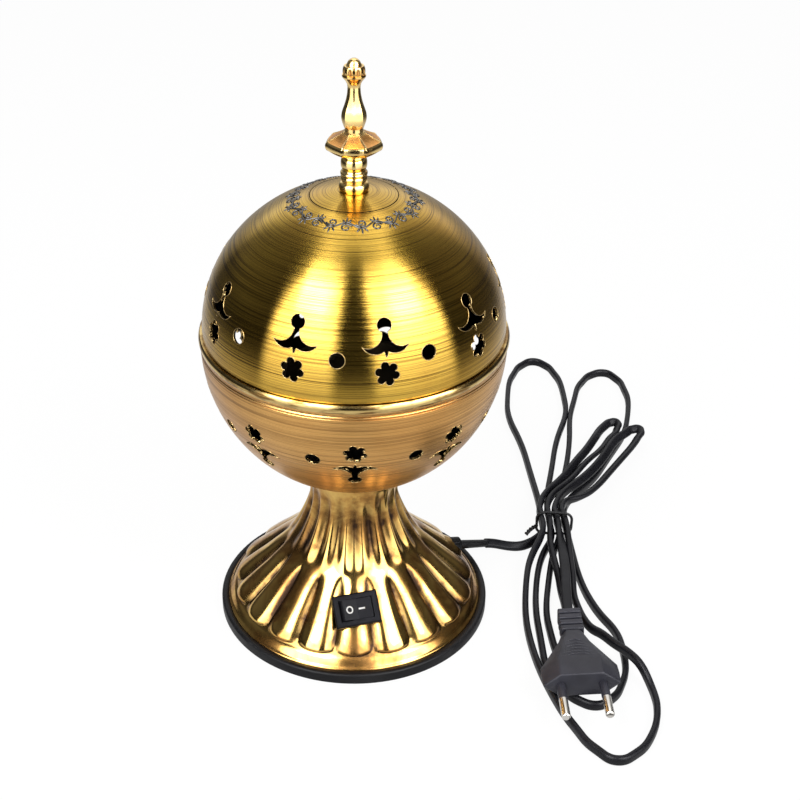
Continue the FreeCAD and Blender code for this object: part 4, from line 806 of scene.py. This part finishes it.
lidBand = {
    "repeats": 13, "middle": 26.0, "wave": 2.1, "stroke": 0.42, "stemWidth": 0.9,
    # the curl in each wave: its size, points, first angle and step, flatness, inset, width and taper
    "curl": 2.5, "curlPoints": 10, "curlStart": 200, "curlStep": 58, "curlFlat": 0.9, "curlInset": 1.1,
    "curlWidth": 1.15, "curlTaper": 0.06,
    # each leaf: how many degrees it leans, and how far out its tip is
    "leaves": [(-4.6, 4.4), (0.0, 5.4), (4.6, 4.4)], "leafRoot": 2.6,
    # along a leaf: shares of its lean, and widths
    "leafLeans": (0.4, 0.8, 1.0), "leafWidths": (0.5, 1.7, 0.15),
    "circle": 18.8, "circleStroke": 0.24, "circleSunk": 0.12, "circlePoints": 24}
enamel = Shader("blackRelief")
glaze = enamel.noise(enamel.place, 500.0, 3.0)
enamel.set(Base_Color=enamel.mix(enamel.ramp(glaze, 0.35, 0.7), (0.012, 0.011, 0.010), (0.05, 0.045, 0.038)),
           Roughness=enamel.ramp(glaze, 0.3, 0.7, 0.16, 0.30), Specular_IOR_Level=0.8)


def onLid(angle, reach, sunk=0.0):
    dome = piercedShell["lid_dome"]
    level = dome["centre"] + dome["along"] * math.sqrt(1 - (reach / dome["across"]) ** 2)
    return polar(reach, angle, level - sunk)


def scrollCurl(turn, reach, side):
    curl = []
    for k in range(lidBand["curlPoints"]):
        spin = math.radians(lidBand["curlStart"] + lidBand["curlStep"] * k)
        size = lidBand["curl"] * (1 - k / (lidBand["curlPoints"] + 1)) * side
        angle = turn + math.degrees(size * math.cos(spin) / lidBand["middle"])
        curl.append((onLid(angle, reach - size * math.sin(spin) * lidBand["curlFlat"]),
                     lidBand["curlWidth"] - lidBand["curlTaper"] * k))
    return curl


def buildBand():
    # a plain leaf scroll: one wavy stem all round, with a curl and three leaves at each wave
    step = 360 / lidBand["repeats"]
    stem = []
    for k in range(lidBand["repeats"] * 4):
        reach = lidBand["middle"] + lidBand["wave"] * (0, 1, 0, -1)[k % 4]
        stem.append((onLid(k * step / 4, reach), lidBand["stemWidth"]))
    lines = []
    for k in range(lidBand["repeats"]):
        for side, stepShare in ((1, 0.25), (-1, 0.75)):
            turn = (k + stepShare) * step
            reach = lidBand["middle"] - side * lidBand["curlInset"]
            lines.append(scrollCurl(turn, reach, side))
            root = reach + side * lidBand["leafRoot"]
            for lean, far in lidBand["leaves"]:
                tip = reach + side * far
                lines.append([(onLid(turn + lean * part, place), width) for part, place, width in zip(
                    lidBand["leafLeans"], (root, (root + tip) / 2, tip), lidBand["leafWidths"])])
    for piece in (strokes("scrollStem", [stem], lidBand["stroke"], True),
                  strokes("scrollLeaves", lines, lidBand["stroke"])):
        addOn(piece, piece.name, "lid_dome", enamel.material)
    # a ring sunk in the engraved groove, painted near black: patina and painted shade in the groove
    ring = [(onLid(360 / lidBand["circlePoints"] * k, lidBand["circle"], lidBand["circleSunk"]), 1.0)
            for k in range(lidBand["circlePoints"])]
    addOn(strokes("engravedCircle", [ring], lidBand["circleStroke"], True), "engravedCircle", "lid_dome",
          insideShadeBrass.material)
    print("lid band laid:", len(lines), "strokes")


print("brass finishes made")


def plainFinish(name, colour, second, metallic, roughness, scale=180.0, relief=0.1, gloss=0.5):
    made = Shader(name)
    grain = made.noise(made.place, scale, 4.0, 0.6)
    tone = made.noise(made.place, scale * 0.12, 3.0)
    made.set(Base_Color=made.mix(made.ramp(tone, 0.35, 0.7), colour, second), Metallic=metallic,
             Roughness=made.ramp(grain, 0.2, 0.8, roughness - 0.07, roughness + 0.07),
             Specular_IOR_Level=gloss)
    made.bump(grain, relief, 0.0002)
    return made.material


# each slot's finish: name, colour, second colour, metallic, roughness, and its own grain, relief and gloss
plainFinishes = {
    "black_rubber": ("ringRubber", (0.006, 0.006, 0.007), (0.012, 0.012, 0.013), 0.0, 0.42,
                     240.0, 0.25, 0.14),
    "base_steel": ("blackedSteel", (0.05, 0.05, 0.052), (0.08, 0.08, 0.082), 0.6, 0.5),
    "screw_steel": ("screwSteel", (0.60, 0.60, 0.61), (0.45, 0.45, 0.46), 1.0, 0.30),
    "plain_brass": ("plainBrass", (0.72, 0.55, 0.25), (0.60, 0.42, 0.18), 1.0, 0.28),
    "plated_steel": ("platedSteel", (0.66, 0.66, 0.67), (0.50, 0.50, 0.52), 1.0, 0.26),
    "cup_steel": ("sootySteel", (0.070, 0.062, 0.055), (0.020, 0.017, 0.015), 0.7, 0.55),
    "coil_wire": ("coilWire", (0.30, 0.27, 0.25), (0.20, 0.17, 0.15), 1.0, 0.45),
    "cast_aluminium": ("castAluminium", (0.58, 0.58, 0.59), (0.40, 0.39, 0.38), 1.0, 0.48),
    "mica_sheet": ("micaSheet", (0.52, 0.47, 0.36), (0.38, 0.33, 0.24), 0.0, 0.35),
    "white_ceramic": ("whiteCeramic", (0.80, 0.78, 0.73), (0.70, 0.67, 0.60), 0.0, 0.55),
    "fuse_metal": ("fuseMetal", (0.68, 0.68, 0.68), (0.55, 0.55, 0.55), 1.0, 0.3),
    "tray_metal": ("sootyTray", (0.050, 0.034, 0.016), (0.010, 0.008, 0.006), 0.6, 0.55),
    "switch_plastic": ("switchPlastic", (0.006, 0.006, 0.008), (0.011, 0.011, 0.014), 0.0, 0.36,
                       500.0, 0.08, 0.10),
    "pale_plastic": ("palePlastic", (0.74, 0.73, 0.68), (0.66, 0.64, 0.58), 0.0, 0.42),
    "brown_sleeve": ("brownSleeve", (0.22, 0.10, 0.045), (0.17, 0.08, 0.035), 0.0, 0.42),
    "blue_sleeve": ("blueSleeve", (0.04, 0.13, 0.42), (0.03, 0.10, 0.34), 0.0, 0.42),
    "grey_sleeve": ("greySleeve", (0.25, 0.25, 0.25), (0.19, 0.19, 0.19), 0.0, 0.45),
    "tie_plastic": ("tiePlastic", (0.008, 0.008, 0.009), (0.014, 0.014, 0.016), 0.0, 0.38, 300.0, 0.1, 0.25),
    "plug_plastic": ("plugPlastic", (0.018, 0.018, 0.024), (0.030, 0.030, 0.040), 0.0, 0.44,
                     420.0, 0.14, 0.30),
    "pin_nickel": ("pinNickel", (0.72, 0.70, 0.66), (0.60, 0.57, 0.52), 1.0, 0.20, 300.0, 0.05),
}
finishes = {slot: plainFinish(*row) for slot, row in plainFinishes.items()}
finishes.update({"lid_brass": lidBrass, "bowl_brass": bowlBrass, "foot_brass": footBrass.material,
                 "finial_brass": finialBrass.material, "cord_sheath": sheath.material})
for name in cadNodes:
    paint(cadNodes[name], finishes[slotOfNode[name]])
for name in ("base_ring", "incense_tray", "heater_cup", "cord_grommet"):
    standIn(cleanCopy(name), name, finishes[slotOfNode[name]])
# the collar inside the dome is painted near black as shade
standIn(cleanCopy("lid_collar"), "lid_collar", insideShadeBrass.material)
for name in ("switch_housing", "switch_rocker"):
    standIn(cleanCopy(name, 10), name, finishes[slotOfNode[name]])
for name in piercedShell:
    finishShell(name)
standIn(buildFoot(), "pedestal", footBrass.material)
standIn(buildFinial(), "finial", finialBrass.material)
buildBand()
print("nodes dressed")

rockerMarks = {
    "wingLift": 24.0, "crown": (0.395, 1.858), "ringAt": 3.9, "ringSize": 1.45, "ringStroke": 0.34,
    "ringFlat": 0.3, "ringProud": 0.02, "barAt": 2.1, "barSize": (2.9, 0.8, 0.18), "barCorner": 0.08}
markWhite = plainFinish("markWhite", (0.78, 0.78, 0.76), (0.70, 0.70, 0.68), 0.0, 0.4, 600.0, 0.03)


def onSwitch(aside, rise, proud):
    place, right, up, out = [Vector(switchSeat[way]) for way in ("place", "right", "up", "out")]
    return (place + right * aside + up * rise + out * proud) * mm


def turnTo(piece, aside, up, out, place):
    # lays a piece modelled flat at the origin into its place
    aim = Matrix((aside, up, out)).transposed().to_4x4()
    aim.translation = place
    piece.matrix_world = aim
    bakePlace(piece)


def plainBlock(size, place=(0, 0, 0)):
    pickNothing()
    bpy.ops.mesh.primitive_cube_add(size=1.0)
    block = bpy.context.object
    block.scale = [length * mm for length in size]
    block.location = Vector(place) * mm
    bakePlace(block)
    return block


def markRocker():
    right, up, out = [Vector(switchSeat[way]) for way in ("right", "up", "out")]
    lift = math.radians(rockerMarks["wingLift"])
    wingAside = right * math.cos(lift) - out * math.sin(lift)
    wingOut = right * math.sin(lift) + out * math.cos(lift)
    crownAside, crownHigh = rockerMarks["crown"]
    pickNothing()
    bpy.ops.mesh.primitive_torus_add(
        major_radius=rockerMarks["ringSize"] * mm, minor_radius=rockerMarks["ringStroke"] * mm,
        major_segments=40, minor_segments=8)
    ring = bpy.context.object
    ring.scale = (1.0, 1.0, rockerMarks["ringFlat"])
    bakePlace(ring)
    bpy.ops.object.shade_smooth()
    fromCrown = wingOut * rockerMarks["ringProud"] - wingAside * rockerMarks["ringAt"]
    turnTo(ring, wingAside, up, wingOut, onSwitch(crownAside, 0.0, crownHigh) + fromCrown * mm)
    addOn(ring, "ringMark", "switch_rocker", markWhite)
    bar = plainBlock(rockerMarks["barSize"])
    corners = bar.modifiers.new("corners", "BEVEL")
    corners.width = rockerMarks["barCorner"] * mm
    corners.segments = 3
    applyAll(bar)
    turnTo(bar, right, up, out, onSwitch(crownAside + rockerMarks["barAt"], 0.0, crownHigh))
    addOn(bar, "barMark", "switch_rocker", markWhite)
    print("rocker marked")


markRocker()

plug = {
    "roll": -4.0, "ribs": 4, "ribStep": 4.0, "ribSize": (10.8, 3.0, 8.6), "ribEdge": 0.8,
    "coreSize": (7.4, 18.0, 4.8), "coreFrom": 0.2, "coreEdge": 1.2,
    # how far along, width, height and width share of the flat top and bottom
    "sections": [(15.5, 11.5, 8.5, 0.55), (20.0, 15.0, 10.0, 0.55), (37.0, 35.3, 14.0, 0.53),
                 (42.0, 35.8, 14.0, 0.53), (48.5, 35.3, 12.9, 0.55)],
    "edge": 0.8, "ridges": 6, "ridgeStart": 24.5, "ridgeStep": 2.2, "ridge": 0.45, "ridgeSpan": 0.82,
    "ridgeSunk": 0.05,
    # across a ridge: share of its half length, how far back it bows, and share of its thickness
    "ridgeArch": [(-1.0, -0.9, 0.4), (-0.5, 0.1, 1.0), (0.0, 0.5, 1.0), (0.5, 0.1, 1.0), (1.0, -0.9, 0.4)],
    "pinReach": 20.0, "pinRadius": 2.0, "pinSpread": 9.5, "pinSunk": 0.5, "pinTip": 0.9,
    "sleeve": 9.0, "sleeveProud": 0.06, "sleeveSunk": 0.4, "sleeveTip": 0.1}


def roundEdges(piece, width, segments=3, angle=20):
    pickOnly(piece)
    edges = piece.modifiers.new("edges", "BEVEL")
    edges.width = width * mm
    edges.segments = segments
    edges.limit_method = "ANGLE"
    edges.angle_limit = math.radians(angle)
    applyAll(piece)
    bpy.ops.object.shade_smooth_by_angle(angle=math.radians(40))


def softBlock(size, place, edge):
    block = plainBlock(size, place)
    roundEdges(block, edge)
    return block


def buildPlug():
    pickNothing()
    bpy.ops.mesh.primitive_circle_add(vertices=6, radius=0.01, fill_type="NGON")
    shell = bpy.context.object
    for k, (along, width, height, flatShare) in enumerate(plug["sections"]):
        side, flat, high = width / 2, width / 2 * flatShare, height / 2
        outline = [(side, 0), (flat, high), (-flat, high), (-side, 0), (-flat, -high), (flat, -high)]
        pickOnly(shell)
        if k:
            bpy.ops.object.mode_set(mode="EDIT")
            bpy.ops.mesh.extrude_region_move(TRANSFORM_OT_translate={"value": (0, -0.001, 0)})
            bpy.ops.object.mode_set(mode="OBJECT")
        chosen = [spot for spot in shell.data.vertices if spot.select]
        chosen.sort(key=lambda spot: spot.index)
        for spot, (aside, rise) in zip(chosen, outline):
            spot.co = (aside * mm, -along * mm, rise * mm)
    closeForm(shell)
    roundEdges(shell, plug["edge"])
    core = plug["coreSize"]
    parts = [shell, softBlock(core, (0, -core[1] / 2 - plug["coreFrom"], 0), plug["coreEdge"])]
    for k in range(plug["ribs"]):
        parts.append(softBlock(plug["ribSize"], (0, -plug["ribSize"][1] / 2 - k * plug["ribStep"], 0),
                               plug["ribEdge"]))
    lines = []
    (nearAlong, nearWide, nearHigh, flatShare), (farAlong, farWide, farHigh, _) = plug["sections"][1:3]
    for k in range(plug["ridges"]):
        along = plug["ridgeStart"] + k * plug["ridgeStep"]
        share = min(1.0, (along - nearAlong) / (farAlong - nearAlong))
        high = (nearHigh + (farHigh - nearHigh) * share) / 2 - plug["ridgeSunk"]
        wide = (nearWide + (farWide - nearWide) * share) / 2 * flatShare * plug["ridgeSpan"]
        lines.append([(Vector((wide * aside, back - along, high)), width)
                      for aside, back, width in plug["ridgeArch"]])
    parts.append(strokes("gripRidges", lines, plug["ridge"]))
    return joinAll(parts)


def buildPins(radius, start, end, tipRound):
    parts = []
    for side in (-1, 1):
        pickNothing()
        bpy.ops.mesh.primitive_cylinder_add(
            vertices=36, radius=radius * mm, depth=(end - start) * mm, rotation=(math.pi / 2, 0, 0),
            location=(side * plug["pinSpread"] * mm, -(start + end) / 2 * mm, 0))
        pin = bpy.context.object
        bakePlace(pin)
        roundEdges(pin, tipRound, 4, 60)
        parts.append(pin)
    return joinAll(parts)


def layPlug(piece):
    roll = Matrix.Rotation(math.radians(plug["roll"]), 4, "Y")
    piece.matrix_world = Matrix.Translation(plugStart * mm) @ roll
    bakePlace(piece)
    return piece


face = plug["sections"][-1][0]
plugBody = standIn(layPlug(buildPlug()), "plug_body", finishes["plug_plastic"])
plugBody.name = "plugBody"
bothPins = buildPins(plug["pinRadius"], face - plug["pinSunk"], face + plug["pinReach"], plug["pinTip"])
plugPins = standIn(layPlug(bothPins), "plug_pins", finishes["pin_nickel"])
plugPins.name = "plugPins"
bothSleeves = buildPins(plug["pinRadius"] + plug["sleeveProud"], face - plug["sleeveSunk"],
                        face + plug["sleeve"], plug["sleeveTip"])
pinSleeves = addOn(layPlug(bothSleeves), "pinSleeves", "plug_body", finishes["plug_plastic"])
print("plug built")

tie = {
    "left": 95.3, "right": 113.5, "low": 0.85, "high": 14.2, "y": 49.0, "lean": 1.6, "wire": 0.72,
    # the loop's points, as shares of its width and height
    "loop": [(0.02, 0.5), (0.0, 0.2), (0.12, 0.0), (0.5, 0.0), (0.88, 0.0), (1.0, 0.2),
             (1.0, 0.5), (1.0, 0.82), (0.86, 1.0), (0.5, 1.0), (0.14, 1.0), (0.0, 0.8)],
    "tail": [(95.6, 48.6, 6.0), (93.6, 47.2, 6.2), (91.4, 45.4, 5.6), (89.6, 43.6, 4.4)],
    "tailPoints": 13, "tailWidth": 0.9, "twist": 0.75, "twistWide": 0.55, "twistHigh": 0.8, "twistStep": 1.25}


def buildTie():
    loop = []
    for aside, rise in tie["loop"]:
        loop.append((Vector((tie["left"] + (tie["right"] - tie["left"]) * aside,
                             tie["y"] - tie["lean"] * (aside - 0.5),
                             tie["low"] + (tie["high"] - tie["low"]) * rise)), 1.0))
    parts = [strokes("tieLoop", [loop], tie["wire"], True)]
    lines = []
    tail = [Vector(place) for place in tie["tail"]]
    for phase in (0, math.pi):
        line = []
        for k in range(tie["tailPoints"]):
            share = k / (tie["tailPoints"] - 1) * (len(tail) - 1)
            first = min(int(share), len(tail) - 2)
            spine = tail[first].lerp(tail[first + 1], share - first)
            spin = phase + k * tie["twistStep"]
            aside = tie["twistWide"] * math.sin(spin)
            line.append((spine + Vector((aside, -aside, tie["twistHigh"] * math.cos(spin))) * tie["twist"],
                         tie["tailWidth"]))
        lines.append(line)
    parts.append(strokes("tieTail", lines, tie["wire"]))
    return joinAll(parts)


cordTie = standIn(buildTie(), "cord_tie", finishes["tie_plastic"])
cordTie.name = "cordTie"
print("tie wound")


# floor, studio walls and lamps, and how bright they are in the metal
studio = {
    "floorSize": 9.0,
    "floorColour": (0.94, 0.94, 0.94),
    "floorSeen": 0.94,
    "floorInMetal": 0.84,
    "farFloorInMetal": 1.8,
    "farFloorReach": (0.25, 0.80),
    "diffuseLevel": 0.52,
    "wallsInMetal": 2.0,
    "boxesInMetal": 3.0,
    "boxesHeight": (0.05, 0.30),
    "ceiling": 0.14,
    "ceilingHeight": (0.84, 0.98),
    "lampsAim": (0.03, 0.0, 0.12),
    # bearing in degrees from the front, and how bright the studio is there
    "walls": [(-180, 0.2), (-152, 0.2), (-138, 0.03), (-69, 0.01), (-63, 1.0), (-17, 1.0), (-13, 0.01),
              (13, 0.01), (16, 1.0), (72, 1.0), (75, 0.01), (134, 0.03), (150, 0.2), (180, 0.2)],
    "lamps": [
        ("leftBox", (-0.52, -0.62, 0.98), 0.46, 8.0),
        ("rightBox", (0.68, -0.62, 0.90), 0.46, 6.0),
        ("topBox", (0.0, 0.35, 1.25), 0.80, 2.5),
    ],
}


def studioWalls(kit, way):
    # how bright the studio is by its bearing round the object, as metal sees it
    x, y, z = kit.parts(way)
    bearing = kit.math("ARCTAN2", x, kit.times(y, -1.0))
    turnShare = kit.add("MapRange", bearing, -math.pi, math.pi).outputs[0]
    walls = kit.add("ValToRGB", turnShare)
    elements = walls.color_ramp.elements
    while len(elements) < len(studio["walls"]):
        elements.new(0.5)
    for element, (angle, level) in zip(elements, studio["walls"]):
        element.position = (angle + 180) / 360
        element.color = (level, level, level, 1)
    return walls.outputs[0]


def scaled(kit, colour, factor):
    return kit.add("VectorMath", colour, operation="SCALE", Scale=factor).outputs[0]


pickNothing()
bpy.ops.mesh.primitive_plane_add(size=studio["floorSize"])
floor = bpy.context.object
floor.name = "floor"
pale = bpy.data.materials.new("paleFloor")
kit = NodeKit(pale)
rays = kit.add("LightPath").outputs
floorPlace = kit.add("TexCoord").outputs["Object"]
seen = kit.times(kit.math("MAXIMUM", rays["Is Camera Ray"], rays["Is Transmission Ray"]), studio["floorSeen"])
matte = kit.add("BsdfDiffuse", Color=studio["floorColour"]).outputs[0]
plainFloor = kit.mixShaders(seen, matte, kit.add("Emission").outputs[0])
# metal sees an even floor near the object, and the walls' pattern farther out
reach = kit.add("VectorMath", floorPlace, operation="LENGTH").outputs["Value"]
farFloor = scaled(kit, studioWalls(kit, floorPlace), studio["farFloorInMetal"])
shimmer = kit.mix(kit.ramp(reach, *studio["farFloorReach"]), (studio["floorInMetal"],) * 3, farFloor)
glossyFloor = kit.add("Emission", Color=shimmer).outputs[0]
kit.add("OutputMaterial", Surface=kit.mixShaders(rays["Is Glossy Ray"], plainFloor, glossyFloor))
floor.data.materials.append(pale)

world = bpy.data.worlds.new("studio")
bpy.context.scene.world = world
kit = NodeKit(world)
rays = kit.add("LightPath").outputs
way = kit.add("TexCoord").outputs["Generated"]
height = kit.parts(way)[2]
wallColour = studioWalls(kit, way)
# the light walls are brightest half way up, and the ceiling is dark
raised = kit.mix(kit.ramp(height, *studio["boxesHeight"]), wallColour,
                 scaled(kit, wallColour, studio["boxesInMetal"]))
seenInMetal = kit.mix(kit.ramp(height, *studio["ceilingHeight"]), raised, (studio["ceiling"],) * 3)
glossyWorld = kit.add("Background", seenInMetal, studio["wallsInMetal"]).outputs[0]
plainWorld = kit.add("Background", (1, 1, 1), studio["diffuseLevel"]).outputs[0]
whiteWorld = kit.add("Background", (1, 1, 1)).outputs[0]
lit = kit.mixShaders(rays["Is Glossy Ray"], plainWorld, glossyWorld)
kit.add("OutputWorld", Surface=kit.mixShaders(rays["Is Camera Ray"], lit, whiteWorld))

for name, place, size, power in studio["lamps"]:
    pickNothing()
    bpy.ops.object.light_add(type="AREA", location=place)
    lamp = bpy.context.object
    lamp.name = name
    lamp.data.shape = "SQUARE"
    lamp.data.size = size
    lamp.data.energy = power
    toCentre = Vector(studio["lampsAim"]) - Vector(place)
    lamp.rotation_euler = toCentre.to_track_quat("-Z", "Y").to_euler()
bpy.context.scene.view_settings.view_transform = "Standard"
print("studio lit")
